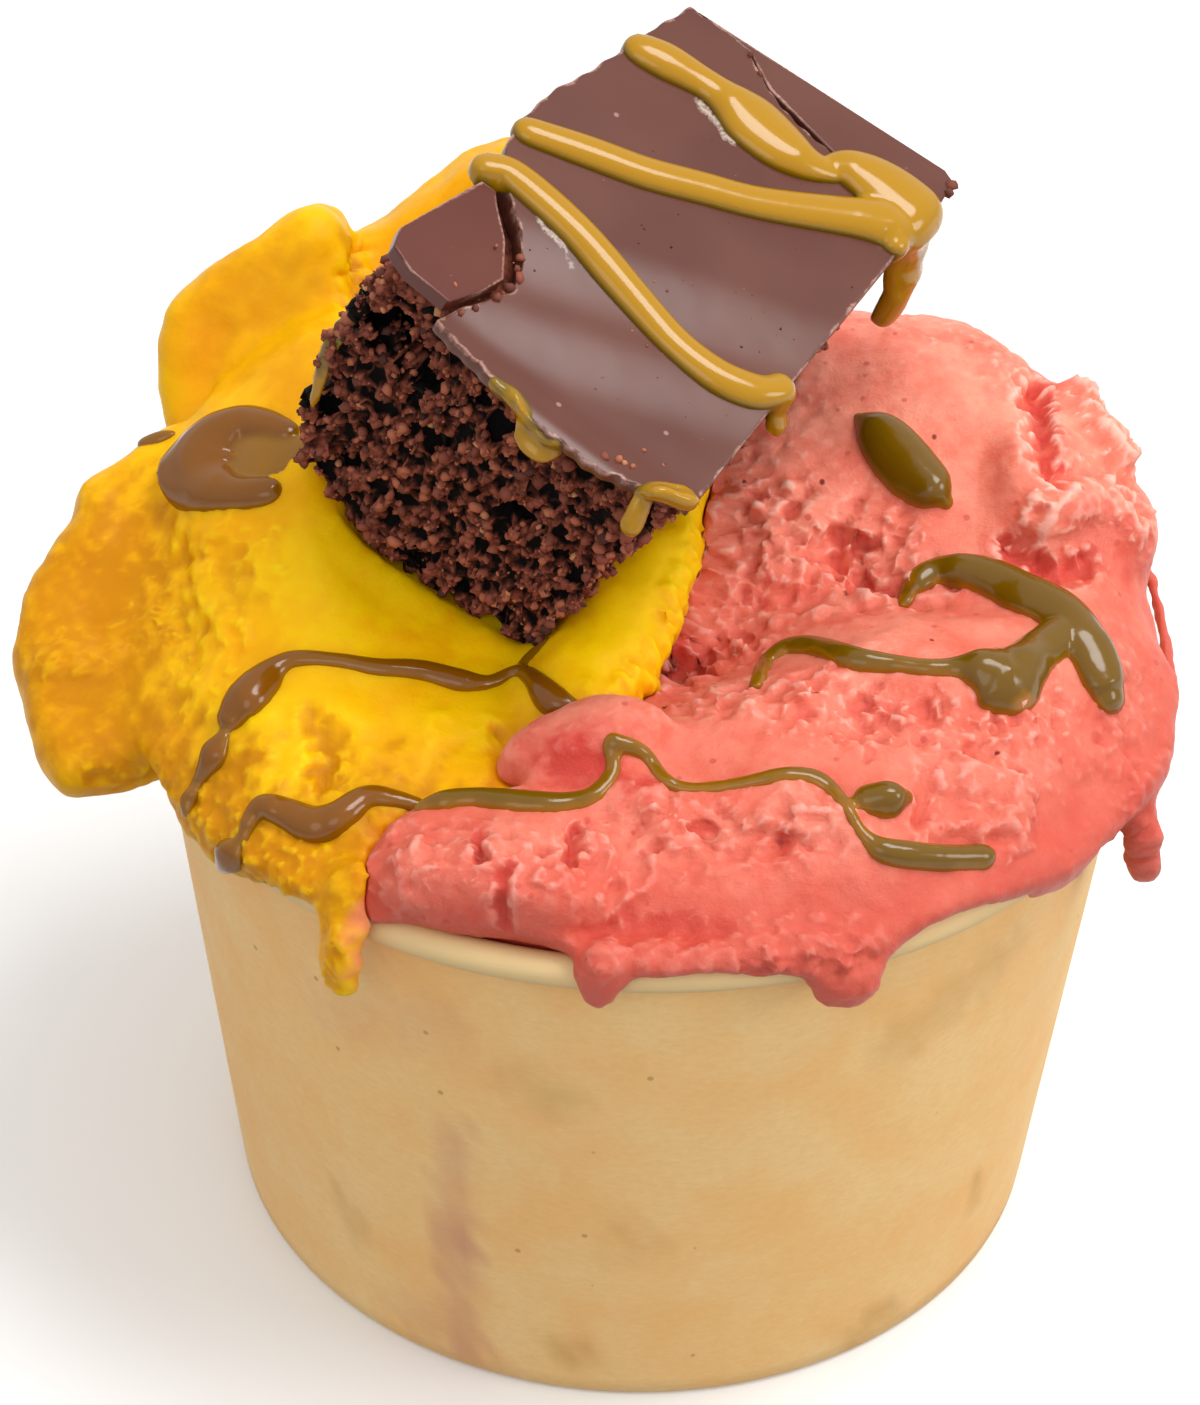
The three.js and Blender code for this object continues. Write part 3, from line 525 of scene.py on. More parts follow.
# The scoops. Tints are a value, where it begins and ends, the most of it and its colour.
mango = {
    "voxel": 0.95,
    "smoothing": 7,
    "levels": 1,
    "lowestShown": 50,  # what lies deeper in the tub is left smooth and coarse
    "triangles": 190000,
    "grains": [  # kind, size, height, where, and the texture's own settings
        ("CLOUDS", 8, 1.2, "shown", {"noise_depth": 1}),
        ("VORONOI", 5, -0.5, "shown", {}),
        ("CLOUDS", 1.3, 0.14, "shown", {"noise_depth": 2}),
        ("VORONOI", 1.3, -0.7, "icy", {}),
        ("CLOUDS", 2.6, 0.9, "icy", {"noise_depth": 2, "noise_type": "HARD_NOISE"}),
    ],
    "values": [("relief", 8, 0.16), ("hollow", 60, 0.7)],  # each one's smoothing and height
    "tints": [
        # painted light: brighter yellow on lit slopes and ridges
        ("lemon", 0, 1, 0.8, "FFD200"),
        # painted shade: deeper orange in the broad hollows
        ("hollow", -0.1, -1, 0.6, "E08C00"),
        # deeper orange: partly the sorbet's own orange patches, partly painted shade on the left lobe and
        # in the hollows
        ("orange", 0, 1, 0.85, "C67C00"),
        ("mixed", 0.3, 1, 0.6, "EE8412"),
        # paler yellow on the crests: icy flakes and a painted highlight
        ("relief", 0.1, 1, 0.4, "FFD810"),
        ("blush", 0, 1, 0.85, "F08468"),
    ],
    "icy": [  # where the sorbet is granular: route, width and strength
        [(200, 800), (230, 870), (290, 880), 6.5, 0.8],
        [(200, 830), (330, 840), (400, 850), 4.5, 0.7], [(110, 775), (170, 780), 3.5, 0.8],
        [(60, 640), (120, 740), 6, 0.2], [(270, 760), (400, 760), (540, 740), 6, 0.25],
        [(600, 712), (660, 660), (690, 560), (730, 475), 3, 0.8],
    ],
    "strokes": [  # route, width and height
        [(355, 245), (358, 290), (372, 320), 2.2, -1.4],
        [(318, 720), (330, 748), (322, 775), 2.6, -0.9], [(505, 745), (520, 760), 2.6, -0.9],
        [(262, 700), (262, 770), (270, 800), 2.2, 0.5],
        [(180, 560), (172, 600), (200, 660), 3, -0.7], [(225, 560), (245, 610), 3, -0.6],
        [(190, 520), (240, 540), (210, 575), 3.2, 0.5], [(260, 560), (215, 650), (200, 700), 3.5, 0.7],
        [(60, 655), (120, 640), (160, 600), 3, 0.5],
        [(600, 700), (640, 680), (668, 630), (684, 570), (712, 530), (725, 480), 2.6, 1.0],
        [(640, 690), 2, 0.9], [(668, 655), 1.8, -1], [(690, 600), 1.8, 1],
        [(700, 560), 1.6, -1], [(716, 520), 1.6, 0.9], [(345, 945), (350, 985), 2.6, 0.9],
        [(440, 715), (430, 740), 1.6, 0.35], [(490, 718), (478, 742), 1.6, 0.35],
    ],
    # deeper orange: partly the sorbet's own orange patches, partly painted shade on the left lobe and in
    # the hollows
    "orange": [
        [(316, 725), (330, 760), (320, 790), 2.6, 0.9], [(350, 770), (390, 765), 4, 0.5],
        [(505, 745), (525, 765), 3, 0.8], [(530, 720), (545, 740), 2.5, 0.6],
        [(560, 800), (600, 770), 2, 0.5], [(380, 830), (400, 870), (380, 920), 3, 0.6],
        [(330, 930), (330, 985), 2, 0.5], [(90, 560), (60, 640), (110, 740), 14, 1],
        [(190, 800), (300, 870), (420, 840), 9, 1], [(135, 560), (150, 620), 6, 0.4],
        [(230, 570), (240, 600), 3, 0.5], [(250, 270), (300, 380), 9, 0.4],
        [(245, 740), (225, 800), (240, 860), 5, 0.5], [(350, 245), (372, 320), 2.2, 1],
        [(660, 680), (690, 620), (730, 500), 2.4, 0.7],
    ],
    "blush": [  # pink that ran into it
        [(368, 890), (364, 950), (360, 1005), 2.8, 1], [(405, 870), (390, 920), 2, 0.8],
    ],
    # painted light: strokes of brighter yellow on lit slopes and ridges
    "lemon": [
        [(225, 890), (290, 905), (305, 905), 3, 0.9], [(262, 700), (262, 780), 3, 0.6],
        [(330, 580), (420, 570), (520, 640), 10, 0.8],
        [(600, 650), (660, 570), (700, 500), 5, 0.9], [(430, 730), (560, 690), 6, 0.4],
    ],
}

strawberry = {
    "voxel": 0.9,
    "smoothing": 6,
    "levels": 1,
    "lowestShown": 50,
    "triangles": 192000,
    "grains": [
        ("CLOUDS", 6, 0.9, "shown", {"noise_depth": 2}),
        ("CLOUDS", 0.9, 0.22, "shown", {"noise_depth": 2}),
        ("VORONOI", 3.2, -1.6, "icy", {}),
        ("VORONOI", 1.4, -1.3, "icy", {}),
        ("CLOUDS", 2.2, 2.0, "icy", {"noise_depth": 3, "noise_type": "HARD_NOISE"}),
    ],
    "values": [("relief", 8, 0.2), ("hollow", 60, 0.9)],
    "tints": [
        # deeper red in the hollows: pulp colour and painted shade
        ("hollow", -0.15, -1.0, 0.75, "D2382A"),
        # deeper red: pulp in the creases and painted shade along the lower front
        ("red_and_shade", 0, 1, 0.9, "C81E1A"),
        ("mixed", 0.4, 1, 0.5, "F07A30"),
        # pale pink on the crests: frost and a painted highlight
        ("relief", 0.1, 0.9, 0.85, "FDC0AE"),
    ],
    "icy": [
        [(760, 520), (820, 560), (900, 590), (860, 540), 6.5, 0.9],
        [(710, 480), (740, 540), (720, 600), (700, 660), 7, 0.7],
        [(700, 690), (800, 700), (900, 720), (980, 730), (1040, 700), 5.5, 0.9],
        [(640, 700), (700, 660), (760, 640), 5, 0.8],
        [(650, 820), (700, 840), (820, 820), 5, 0.8], [(1010, 560), (1090, 570), 4, 0.4],
        [(400, 840), (500, 850), (590, 860), 6, 0.55], [(760, 960), (860, 960), 3.5, 0.7],
        [(1140, 700), (1130, 800), 5, 0.5], [(880, 310), (980, 340), (1040, 400), 6, 0.3],
        [(760, 360), (800, 420), (780, 480), 6, 0.3], [(1040, 780), (1110, 720), (1130, 640), 6, 0.25],
    ],
    "strokes": [
        [(1036, 380), (1042, 425), (1050, 468), 2.2, -1.9],
        [(1068, 372), (1090, 420), (1125, 460), (1158, 490), 2.6, 1.9],
        [(1135, 470), (1160, 498), 1.8, 1.2], [(1125, 500), (1150, 520), 1.8, -1.4],
        [(1136, 830), (1142, 870), 2.8, 1.3],
        [(935, 775), (975, 770), (1010, 790), (1000, 820), (950, 815), 2.6, 0.8],
        [(925, 770), (925, 825), 1.2, -0.9], [(940, 838), (1010, 838), 1.2, -0.7],
        [(1015, 552), (1050, 572), (1085, 565), 2.2, -1.5],
        [(1050, 510), (1090, 495), (1140, 520), 3.4, 1.2],
        [(1060, 480), (1100, 470), (1130, 480), 1.8, -0.9], [(835, 545), (880, 575), 3, -1.6],
        [(760, 590), (800, 600), (850, 600), 2.6, -1.1],
        [(815, 610), (860, 595), (880, 600), 2, 0.9], [(655, 680), (690, 660), 2.6, -2.2],
        [(480, 835), (480, 855), 0.9, -1], [(506, 870), (500, 900), (504, 925), 1.2, -0.9],
        [(575, 830), (571, 855), 1, -1.1], [(530, 850), (560, 845), 0.8, -0.5],
        [(692, 830), (702, 829), 1, -0.8], [(782, 836), (790, 840), 1, -0.8],
        [(595, 840), (620, 880), (610, 910), 2.2, 0.8],
        [(625, 905), (650, 880), (660, 850), 1.1, 0.5], [(420, 850), (400, 900), 3, 0.7],
        [(610, 950), (700, 950), (860, 940), 3, 0.7],
        [(590, 935), (650, 930), (720, 935), 1.8, -0.8], [(945, 770), (960, 830), 3, -0.7],
        [(1020, 780), (1010, 840), 3, 0.7], [(880, 820), (1000, 800), 3, -0.6],
    ],
    "red_and_shade": [  # deeper red: pulp in the creases, and painted shade along the lower front
        [(1040, 385), (1048, 430), (1056, 465), 2.6, 0.8], [(1015, 555), (1050, 575), (1085, 565), 3, 0.9],
        [(1085, 520), (1120, 540), (1140, 560), 4, 0.5], [(655, 680), (690, 655), 3.2, 1],
        [(480, 830), (478, 860), 1.1, 1], [(506, 870), (500, 900), (504, 925), 1.2, 1],
        [(575, 830), (570, 860), 1.2, 1], [(690, 830), (705, 828), 1.4, 0.7],
        [(780, 835), (790, 842), 1.4, 0.7], [(560, 765), (590, 770), 3, 1],
        [(620, 775), (650, 785), 2.4, 1], [(540, 745), (600, 740), 3.5, 0.6],
        [(702, 560), (690, 620), 3, 0.2], [(590, 935), (650, 930), (720, 935), 2, 0.6],
        [(860, 710), (900, 720), 3, 0.5], [(1180, 600), (1180, 700), 2.4, 0.6],
        [(1140, 800), (1145, 870), 3, 0.6], [(400, 930), (600, 950), 4, 0.5],
        [(640, 925), (760, 925), (920, 910), 6, 0.4], [(430, 880), (560, 890), 5, 0.3],
        [(1000, 880), (1080, 850), 5, 0.3],
    ],
}


def sorbetPiece(node, name, look):
    piece = fineCopy(node, name, look["voxel"], look["smoothing"], look["levels"])
    heights = pointsOf(piece)[:, 2] / mm
    thinned(piece, heights < look["lowestShown"] - 1, look["triangles"])
    carve(piece, look["strokes"])
    points = pointsOf(piece)
    shown = np.clip((points[:, 2] / mm - look["lowestShown"]) / sorbetRim["fade"], 0, 1)
    weighted(piece, "shown", shown)
    low, high = np.array(sorbetRim["heights"]) * mm
    near, far = np.array(sorbetRim["away"]) * mm
    nearRim = smoothStep(points[:, 2], low, high) * smoothStep(points[:, 1], near, far)
    behind = nearRim * np.clip(0.3 + uneven(points, sorbetRim["patches"]), 0, 0.7)
    weighted(piece, "icy", np.maximum(paintStrokes(piece, look["icy"]), behind) * shown)
    addGrains(piece, look)
    return piece


# The seam between the scoops: this one is pressed against its neighbour, and takes a tint
# where they meet.
def pressAgainst(piece, neighbour, closing, reach=1.4):
    tree, points = treeOf(neighbour), pointsOf(piece)
    towards = np.zeros_like(points)
    mixed = np.zeros(len(points))
    for i in np.nonzero(points[:, 2] > mango["lowestShown"] * mm)[0]:
        spot, _, _, away = tree.find_nearest(Vector(points[i]), 2 * reach * mm)
        if spot:
            near = 1 - away / (2 * reach * mm)
            mixed[i] = near
            towards[i] = (np.array(spot) - points[i]) * closing * min(1, 2 * near)
    movePoints(piece, points + towards)
    keepValues(piece, "mixed", mixed)


def mangoMaterial():
    material, tree, shader = newMaterial("mango_sorbet")
    place = objectPlace(tree)
    patches = noise(tree, place, 8, 3)
    base = tinted(tree, colour("FABE00"), patches, 0.35, 0.7, 1, "EFA600")
    for tint in mango["tints"]:
        base = tinted(tree, base, *tint)
    ice = noise(tree, place, 0.45, 4, 0.7)
    setShader(tree, shader, Base_Color=base, Roughness=0.42, Specular_IOR_Level=0.12,
              Subsurface_Weight=0.5, Subsurface_Radius=(1.0, 0.55, 0.04), Subsurface_Scale=3.2 * mm,
              Normal=bumped(tree, ice, 0.06))
    return material


def strawberryMaterial():
    material, tree, shader = newMaterial("strawberry_sorbet")
    place = objectPlace(tree)
    patches = noise(tree, place, 5, 5, 0.62)
    base = tinted(tree, colour("FC9A80"), patches, 0.36, 0.66, 1, "EE735B")
    for tint in strawberry["tints"]:
        base = tinted(tree, base, *tint)
    base = tinted(tree, base, heightOf(tree, place), 76 * mm, 60 * mm, 0.85, "C84A38")  # painted shade: darker red towards the bottom
    base = tinted(tree, base, specks(tree, place, 3.2, 0.4), 0, 1, 0.55, "C03A34")  # pulp
    seeds = specks(tree, objectPlace(tree, (1.3, 1, 1)), 8, 0.4)
    base = tinted(tree, base, seeds, 0, 1, 0.9, "6E1712")
    ice = noise(tree, place, 0.42, 4, 0.75)
    setShader(tree, shader, Base_Color=base, Roughness=0.42, Specular_IOR_Level=0.28,
              Subsurface_Weight=0.3, Subsurface_Radius=(1.0, 0.35, 0.25), Subsurface_Scale=1.8 * mm,
              Normal=bumped(tree, ice, 0.14))
    return material


def dressMango():
    piece = sorbetPiece("sorbet_mango", "mango_scoop", mango)
    for name in ("orange", "lemon", "blush"):
        keepValues(piece, name, paintStrokes(piece, mango[name]))
    return piece


def dressStrawberry():
    piece = sorbetPiece("sorbet_strawberry", "strawberry_scoop", strawberry)
    keepValues(piece, "red_and_shade", paintStrokes(piece, strawberry["red_and_shade"]))
    return piece


def finishSorbet(mangoPiece, strawberryPiece):
    pressAgainst(strawberryPiece, mangoPiece, closing=0.75)
    pressAgainst(mangoPiece, strawberryPiece, closing=0.3)
    keepReliefs(mangoPiece, mango)
    keepReliefs(strawberryPiece, strawberry)
    finish(mangoPiece, mangoMaterial(), "sorbet_mango")
    finish(strawberryPiece, strawberryMaterial(), "sorbet_strawberry")


# ---- brownie, in the block's own frame: u across its front edge, v away from the front,
# w out of its top, from the top's near left corner

block = {
    "corner": (-22.3, -12.4, 108.6),  # from the tub's axis
    "across": (0.809, -0.382, -0.447),
    "away": (0.473, 0.874, 0.109),
    "glazeThick": 2.4,
    "faces": [32.2, -3.9, -1.2],  # where its right, front and upper faces begin to turn over
}


def blockAxes():
    u = Vector(block["across"]).normalized()
    w = u.cross(Vector(block["away"])).normalized()
    return np.array([u, w.cross(u), w])


blockUvw = blockAxes()
blockCorner = np.array(Vector(block["corner"]) * mm + tubAxis)


def intoBlock(uvw):
    return blockCorner + np.asarray(uvw, float) * mm @ blockUvw


def fromBlock(points):
    return (points - blockCorner) @ blockUvw.T / mm


brownieLook = {
    "voxel": 0.72,
    "smoothing": 2,
    "levels": 1,
    "crumbs": 7500,
    "crumbSize": [0.16, 0.7],
    "seed": 11,
    "underGlaze": 0.9,  # the crumb begins this far below the glaze
    "lowestCrumb": -32.6,  # what lies deeper is inside the heap
    "grains": [
        ("CLOUDS", 3.2, 2.8, "crumb", {"noise_depth": 3}),
        ("VORONOI", 1.9, -2.0, "crumb", {}),
        ("CLOUDS", 0.9, 1.3, "crumb", {"noise_depth": 2, "noise_type": "HARD_NOISE"}),
    ],
    "values": [("relief", 6, 0.25), ("hollow", 40, 0.9)],
    "hollows": [
        [(384, 322), (396, 340), (412, 368), 2.6, -5], [(318, 385), (328, 410), 2.2, -3.2],
        [(325, 462), (350, 470), 1.8, -2.2], [(495, 510), (528, 520), 2, -2.2],
        [(400, 285), (430, 300), 1.8, -2], [(485, 400), (500, 425), 1.6, -1.6],
        [(410, 400), (425, 440), 1.5, -1.4], [(560, 560), (575, 575), 1.6, -1.6],
        [(470, 600), (500, 610), 1.6, -1.6], [(400, 545), (425, 560), 1.5, -1.4],
        [(545, 495), (560, 505), 1.5, -1.4],
    ],
}


def brownieMaterial():
    material, tree, shader = newMaterial("brownie_crumb")
    place = objectPlace(tree)
    tone = noise(tree, place, 1.1, 4, 0.7)
    base = tinted(tree, colour("54261A"), tone, 0.35, 0.68, 1, "9C5440")
    # painted shade: near black in the hollows
    base = tinted(tree, base, "hollow", 0.15, -0.35, 1, "060201")
    # paler red-brown on the crests: crumb tone and a painted highlight
    base = tinted(tree, base, "relief", 0.1, 0.9, 0.7, "A8604A")
    setShader(tree, shader, Base_Color=base, Roughness=0.85, Specular_IOR_Level=0.15,
              Normal=bumped(tree, noise(tree, place, 0.35, 3, 0.7), 0.12))
    return material


def crumbMaterial():
    material, tree, shader = newMaterial("loose_crumb")
    tone = ownValue(tree, "tone")
    base = tinted(tree, colour("2C120C"), tone, 0, 0.45, 1, "8A4836")
    base = tinted(tree, base, tone, 0.55, 0.85, 1, "B0664A")
    base = tinted(tree, base, tone, 0.96, 1, 1, "C89060")
    setShader(tree, shader, Base_Color=base, Roughness=0.7, Specular_IOR_Level=0.35)
    return material


grainCorners = 12


# Uneven grains at places, as one mesh: each is a squashed ball of 20 faces.
def grains(name, places, sizes, seed):
    bpy.ops.object.select_all(action="DESELECT")
    bpy.ops.mesh.primitive_ico_sphere_add(subdivisions=1, radius=1)
    ball = bpy.context.object
    corners = pointsOf(ball)
    faces = np.array([polygon.vertices[:] for polygon in ball.data.polygons])
    bpy.data.objects.remove(ball)
    draw = np.random.default_rng(seed)
    count = len(places)
    shapes = corners[None] * draw.uniform(0.65, 1.25, (count, grainCorners, 1))
    shapes *= draw.uniform(0.6, 1.2, (count, 1, 3)) * np.asarray(sizes)[:, None, None] * mm
    spin = np.linalg.qr(draw.normal(size=(count, 3, 3)))[0]
    spin[np.linalg.det(spin) < 0, :, 0] *= -1
    points = (shapes @ spin + np.asarray(places)[:, None]).reshape(-1, 3)
    triangles = (faces[None] + grainCorners * np.arange(count)[:, None, None]).reshape(-1, 3)
    piece = meshPiece(name, points, triangles.tolist())
    piece.data.shade_smooth()
    keepValues(piece, "tone", np.repeat(draw.random(count), grainCorners))
    return piece


def dressBrownie():
    look = brownieLook
    piece = fineCopy("brownie", "brownie_block", look["voxel"], look["smoothing"], look["levels"])
    carve(piece, look["hollows"])
    under = fromBlock(pointsOf(piece))[:, 2]
    crumb = (-block["glazeThick"] - look["underGlaze"] - under) / 0.8
    weighted(piece, "crumb", np.clip(crumb, 0, 1))
    addGrains(piece, look)
    keepReliefs(piece, look)
    finish(piece, brownieMaterial(), "brownie")
    return piece


def dressCrumbs(brownie):
    look = brownieLook
    draw = np.random.default_rng(look["seed"])
    mesh = brownie.data
    middles, areas = vectorsOf(mesh.polygons, "center"), valuesOf(mesh.polygons, "area")
    uvw = fromBlock(middles)
    hidden = (uvw[:, 2] > -block["glazeThick"] - 0.4) | (uvw[:, 2] < look["lowestCrumb"])
    depths = valuesOf(mesh.attributes["hollow"].data, "value")
    crests = np.clip(0.35 + 1.5 * depths[[polygon.vertices[0] for polygon in mesh.polygons]], 0.02, 1)
    chances = np.where(hidden, 0, areas * crests)
    chosen = draw.choice(len(middles), look["crumbs"], p=chances / chances.sum())
    smallest, largest = look["crumbSize"]
    sizes = smallest + (largest - smallest) * draw.random(look["crumbs"]) ** 3
    piece = grains("brownie_crumbs", middles[chosen], sizes, look["seed"])
    finish(piece, crumbMaterial())


# ---- glaze

glaze = {
    "front": [[6.8, -2.2], [13.7, -3.7], [20.5, -4.6], [26.5, -4.1], [32.2, -1.4]],
    "back": [[4.4, 46.3], [11, 46], [14.6, 43.7], [22.9, 42], [32.6, 43.5]],
    "left": [[-3, 6.6], [-1.6, 6.9], [2.9, 8.6], [5.4, 9.6], [7.6, 8.6], [9.5, 6.9], [11.9, 4.5],
             [14.2, 1.8], [18.5, 0.4], [34, 2.3], [46, 4.4]],
    "right": 33,
    "run": [-3, 47],  # v of the front left corner, and how far back the left edge goes
    "edge": [0.38, 0.6],  # width and raggedness of the pale line
    "columns": 96,
    "rows": 140,
    "roundEdge": 0.22,
    "insetEdge": 0.5,
    "thinFront": 0.55,  # of its thickness, at the front edge
    "fold": [9.8, 4.9, 0.474],  # a soft fold crosses the sheet: u and v of a point, and its slope
    "sags": [[0.85, 0.5, 10], [0.65, -9, -0.5]],  # depth of each side's slope, and where it runs
    "lip": [0.5, -3.5, 2],  # height, place and width of the raised front
    "pale_edge_and_sheen": [  # tints broken up by fine noise: a pale line at the edges and a painted reflection beside the strands
        # painted reflection: whitish sheen beside the strands
        ("film", 0.25, 0.5, 0.7, "CDBFAE"),
        ("edge", 0.2, 0.5, 0.6, "C99C8C"),
    ],
}


# The value at x of a smooth line through knots [x, value].
def along(knots, x):
    places, values = np.array(knots, float).T
    slopes = np.gradient(values, places)
    x = np.clip(x, places[0], places[-1])
    i = np.clip(np.searchsorted(places, x) - 1, 0, len(places) - 2)
    step = places[i + 1] - places[i]
    t = (x - places[i]) / step
    return ((1 + 2 * t) * (1 - t) ** 2 * values[i] + t * (1 - t) ** 2 * step * slopes[i]
            + t ** 2 * (3 - 2 * t) * values[i + 1] + t ** 2 * (t - 1) * step * slopes[i + 1])


# How far the sheet's upper face lies from the top plane, seen from its fold and its front.
def glazeTop(u, v):
    foldU, foldV, slope = glaze["fold"]
    beyond = v - foldV - slope * (u - foldU)
    sag = sum(depth * (1 - smoothStep(beyond, low, high)) for depth, low, high in glaze["sags"])
    height, middle, width = glaze["lip"]
    return height * np.exp(-(((v - middle) / width) ** 2)) - sag


# Places on the sheet's upper face, by their shares of its width and depth.
def sheetSpots(a, b):
    start, run = glaze["run"]
    left = along(glaze["left"], start + run * b)
    u = left + (glaze["right"] - left) * a
    v = along(glaze["front"], u) * (1 - b) + along(glaze["back"], u) * b
    # small waves along its front, back and left edges
    v = v + 0.22 * np.sin(2.3 * u) * np.sin(1.1 * u + 1) * (1 - b) ** 6
    v = v + 0.1 * np.sin(2.9 * u + 1) * b ** 20
    u = u - 0.08 * (np.sin(2.1 * v) + np.sin(0.9 * v + 2)) * (1 - a) ** 20
    return np.stack([u, v, glazeTop(u, v)], 1)


# A pale line along the upper edge of a piece of glaze, kept as a value.
def paleEdge(piece, outline):
    width, ragged = glaze["edge"]
    keepValues(piece, "edge", underLine(pointsOf(piece), outline, width, ragged))


def makeGlazeSheet():
    bpy.ops.object.select_all(action="DESELECT")
    bpy.ops.mesh.primitive_grid_add(x_subdivisions=glaze["columns"], y_subdivisions=glaze["rows"], size=1)
    piece = bpy.context.object
    piece.name = "glaze_sheet"
    points = pointsOf(piece)
    shareAway = points[:, 1] + 0.5
    movePoints(piece, intoBlock(sheetSpots(points[:, 0] + 0.5, shareAway)))
    weighted(piece, "thick", smoothStep(shareAway, 0, 0.12))
    applyModifier(piece, "SOLIDIFY", thickness=block["glazeThick"] * mm, offset=-1,
                  vertex_group="thick", thickness_vertex_group=glaze["thinFront"])
    applyModifier(piece, "BEVEL", width=glaze["roundEdge"] * mm, segments=3, limit_method="ANGLE",
                  angle_limit=math.radians(50), harden_normals=True)
    piece.data.shade_smooth()
    t, flat = np.linspace(0, 1, 60), np.zeros(60)
    sides = [(t, flat), (flat + 1, t), (1 - t, flat + 1), (flat, 1 - t)]
    paleEdge(piece, intoBlock(np.concatenate([sheetSpots(a, b) for a, b in sides])))
    return piece


fragments = {
    "glaze_chip": {
        "node": "glaze_corner_chip",
        "outline": [
            (-0.2, 0.2), (2.3, -0.8), (6.4, -0.8), (7.8, 2.8), (8.5, 5.6), (6.3, 9.4), (4, 11.8),
            (2.8, 13.3), (1.3, 13.2), (0.5, 9.3), (-0.9, 2.4),
        ],
        "thick": 1.6,
        "middle": (3.5, 5),
        "lean": (-3, 4),
        "lift": 0.1,
    },
    "glaze_strip": {
        "node": "glaze_far_strip",
        "outline": [
            (4.6, 46.4), (11.1, 46.1), (14.6, 43.8), (22.9, 42.1), (33.4, 43.6), (32.9, 48.6),
            (31.6, 49.2),
        ],
        "thick": 2.4,
        "middle": (20, 46),
        "lean": (0, 0),
        "lift": 0,
    },
}


def makeFragment(name, look):
    outline = np.array(look["outline"], float) - look["middle"]
    middle = Vector((*look["middle"], look["lift"]))
    turn = (Matrix.Rotation(math.radians(look["lean"][1]), 3, "Y")
            @ Matrix.Rotation(math.radians(look["lean"][0]), 3, "X"))
    flat = [middle + turn @ Vector((u, v, 0)) for u, v in outline]
    piece = meshPiece(name, intoBlock([p[:] for p in flat]), [list(range(len(flat)))])
    # keeps the pale line at the edge
    editWhole(piece, bpy.ops.mesh.inset, thickness=glaze["insetEdge"] * mm)
    piece.data.shade_smooth()
    applyModifier(piece, "SOLIDIFY", thickness=look["thick"] * mm, offset=-1)
    applyModifier(piece, "BEVEL", width=glaze["roundEdge"] * mm, segments=3, limit_method="ANGLE",
                  angle_limit=math.radians(30), harden_normals=True)
    paleEdge(piece, intoBlock([p[:] for p in [*flat, flat[0]]]))
    return piece


def glazeMaterial(name, deep, pale):
    material, tree, shader = newMaterial(name)
    place = objectPlace(tree)
    bloom = noise(tree, place, 16, 2)
    base = tinted(tree, colour(deep), bloom, 0.35, 0.65, 1, pale)
    base = tinted(tree, base, specks(tree, place, 5.5, 0.3), 0, 1, 0.6, "B58B86")
    pits = specks(tree, objectPlace(tree, (1.2, 0.9, 1)), 7, 0.35)
    base = tinted(tree, base, pits, 0, 1, 0.7, "2A1512")
    fine = noise(tree, place, 0.4, 3, 0.6)
    for name, low, high, most, hexCode in glaze["pale_edge_and_sheen"]:
        broken = addNode(tree, "ShaderNodeMath", {0: ownValue(tree, name), 1: fine}, operation="MULTIPLY")
        base = tinted(tree, base, broken.outputs[0], low, high, most, hexCode)
    setShader(tree, shader, Base_Color=base, Roughness=0.3, Specular_IOR_Level=0.35,
              Coat_Weight=0.05, Coat_Roughness=0.25, Normal=bumped(tree, noise(tree, place, 9, 2), 0.12))
    return material


# Painted reflection: a whitish sheen on thin sauce beside the strands, as lines in u and v with a width.
sheenLines = [
    [[(10.6, 36.9), (12.6, 36.2), (15.1, 35.2)], 1.0],
    [[(7.3, 13.3), (9.9, 12.5), (12.2, 11.6)], 0.9],
]


def dressGlaze():
    sheet = makeGlazeSheet()
    points = pointsOf(sheet)
    # painted reflection beside the strands
    film = [underLine(points, intoBlock([(u, v, 0) for u, v in line]), width)
            for line, width in sheenLines]
    keepValues(sheet, "film", sum(film))
    sheetLook = glazeMaterial("chocolate_glaze", "5A2D21", "64382B")
    finish(sheet, sheetLook, "glaze_main")
    parts = [sheet]
    # painted shade: the chip's glaze is a darker, redder copy of the sheet's, for its tilted face turned
    # from the light
    shadedChipLook = glazeMaterial("chocolate_fragment", "5A271B", "622E21")
    for name, look in fragments.items():
        piece = makeFragment(name, look)
        finish(piece, shadedChipLook if look["lift"] else sheetLook, look["node"])
        parts.append(piece)
    return parts


# Bits that fell on the glaze: u, v, size and tone, from dark to pale.
glazeBits = [
    (8.7, 7.7, 0.5, 0.3), (9.4, 7, 0.6, 0.5), (9.2, 5.6, 0.7, 0.2), (8.2, 8.9, 0.5, 0.55),
    (9, 3.9, 0.5, 0.3), (8.3, 1.5, 0.5, 0.2), (7.6, 0.2, 0.5, 0.4), (25.7, -2.2, 0.5, 0.9),
    (26.3, -2.1, 0.4, 0.98), (27, -1.8, 0.4, 0.8), (24.6, -3, 0.5, 0.4), (26.8, 0.6, 0.2, 0.85),
    (28.9, 0.6, 0.2, 0.85),
    (5.8, 1.3, 0.3, 0.9), (5, 1.8, 0.2, 0.9), (3.4, 4.5, 0.2, 0.9), (6.1, 7.8, 0.25, 0.75),
    (11.2, 45.8, 0.4, 0.2), (13, 44.6, 0.4, 0.3), (32.8, 48, 0.7, 0.3), (33.2, 47, 0.5, 0.2),
]


scatter = {"count": 90, "from": (8, 0), "to": (32, 41), "sizes": (0.06, 0.16), "seeds": (5, 6)}


